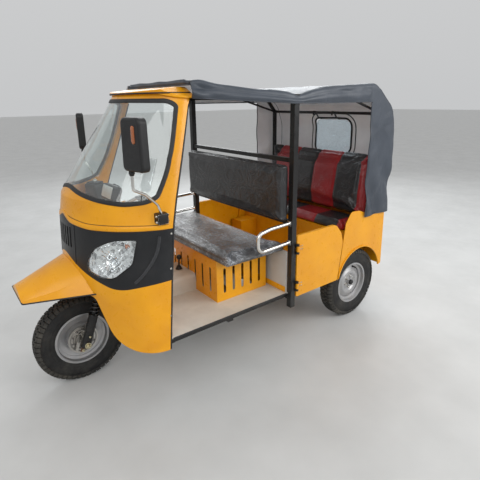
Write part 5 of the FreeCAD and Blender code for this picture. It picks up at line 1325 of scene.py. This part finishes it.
def make_handlebar_details():
    """Ribbed grips, the instrument housing with a pale front face whose white is a painted reflection, and two
    dials.
    """
    ribs, pod, cover, dials = (bmesh.new() for _ in range(4))
    for side in SIDES:
        inner, tip = in_fork(side * 0.170, 0.030, 0.971), in_fork(side * 0.318, 0.062, 0.975)
        along = (tip - inner).normalized()
        for k in range(11):
            add_turned(ribs, [(-0.0028, 0.0155), (-0.0012, 0.0172), (0.0012, 0.0172), (0.0028, 0.0155)],
                       tip - along * (0.004 + 0.009 * k), along, 20)
    middle, tilt = in_fork(0, -0.072, 0.950), Matrix.Rotation(-0.30, 4, "X")
    add_block(pod, middle, (0.190, 0.060, 0.105), tilt, 0.018, 4)
    add_block(pod, in_fork(0, -0.045, 0.905), (0.060, 0.050, 0.020), Matrix.Rotation(-0.35, 4, "X"), 0.004, 2)
    # The pale face on the housing's front is a painted reflection, white where light is caught.
    add_block(cover, middle + tilt @ Vector((0, -0.031, 0.004)), (0.150, 0.010, 0.074), tilt, 0.004, 3)
    for x in (-0.045, 0.045):
        add_turned(dials, [(-0.002, 0.034), (0.003, 0.034), (0.0035, 0.031), (0.002, 0.029)],
                   middle + tilt @ Vector((x, 0.0295, 0.008)), tilt @ Vector((0, 1, 0)), 32)
    piece("grip_ribs", ribs, "black_rubber", body="steering")
    piece("instrument_pod", pod, "black_plastic", body="steering")
    piece("instrument_glare_face", cover, "black_plastic", gauge_white_and_glare, body="steering")
    piece("dials", dials, "black_plastic", gauge_white_and_glare, body="steering")


# Small parts of the body

def make_body_details():
    """Panel screws, floor edge strips, the door hinges' screws and the board's lower rail."""
    screws, strips, rail = (bmesh.new() for _ in range(3))
    for side, tag in SIDES.items():
        for y, z in ((-0.612, 1.030), (-0.640, 0.835), (-0.668, 0.560)):
            x = float(np.interp(z, [0.354, 0.750, 1.080], [0.600, 0.576, 0.535]))
            head = [(0, 0.0065), (0.002, 0.006), (0.0028, 0.003)]
            add_turned(screws, head, (side * x, y, z), (side, 0, 0.1), 16)
        add_block(strips, (side * 0.6095, -0.226, 0.4245), (0.005, 0.900, 0.010), None, 0.0015)
        bm = bmesh.new()
        for z, y, dz in product((0.480, 0.756), (0.318, 0.334), (-0.011, 0.011)):
            add_turned(bm, [(0, 0.0048), (0.0015, 0.0046), (0.0025, 0.0025)], (side * 0.6430, y, z + dz),
                       (side, 0, 0), 12)
        piece(f"door_{tag}_screws", bm, "bright_steel", body=f"door_{tag}")
    piece("panel_screws", screws, "bright_steel")
    piece("floor_edge_rubber", strips, "black_rubber")
    add_block(rail, (0, 0.2235, 0.447), (1.180, 0.0045, 0.040), None, 0.001)
    piece("board_rail", rail, "body_paint")


def make_tail_details():
    """Ribbed amber lens on each tail lamp."""
    for side, tag in SIDES.items():
        bm = bmesh.new()
        add_block(bm, (side * 0.545, 1.3285, 0.697), (0.074, 0.010, 0.058), None, 0.004)
        piece(f"tail_lens_{tag}", bm, "lamp_red", orange)


def make_dash_box():
    """Dark box with a round knob on the dash shelf."""
    box, knob = bmesh.new(), bmesh.new()
    x, y, turn = -0.345, -0.720, Matrix.Rotation(0.35, 4, "Z")
    add_block(box, (x, y, 1.141), (0.120, 0.095, 0.114), turn, 0.012, 3)
    add_block(box, (x, y, 1.204), (0.090, 0.070, 0.014), turn, 0.005, 2)
    piece("dash_box", box, "black_plastic")
    profile = [(0, 0.016), (0.010, 0.015), (0.016, 0.010), (0.017, 0.003)]
    add_turned(knob, profile, (x, y, 1.210), (0.2, -0.3, 1), 24)
    piece("dash_knob", knob, "bright_steel")


canopy_item, canopy_area = make_canopy()
canopy_surface = BVHTree.FromObject(canopy_item, bpy.context.evaluated_depsgraph_get())
canopy_trim = make_canopy_trim(canopy_surface)
make_rear_window()
make_window_binding(canopy_surface)
make_window_straps()
make_cushions()
make_cowl_trim()
make_band_trim()
make_edge_rubbers()
make_lamps()
make_mirrors()
make_clamps()
for body, node, centre, _, width, _ in WHEELS:
    make_tyre(body, node.format("tyre"), centre, width)
make_wheel_fittings()
make_fork_details()
make_brake_details()
make_handlebar_details()
make_body_details()
make_tail_details()
make_dash_box()
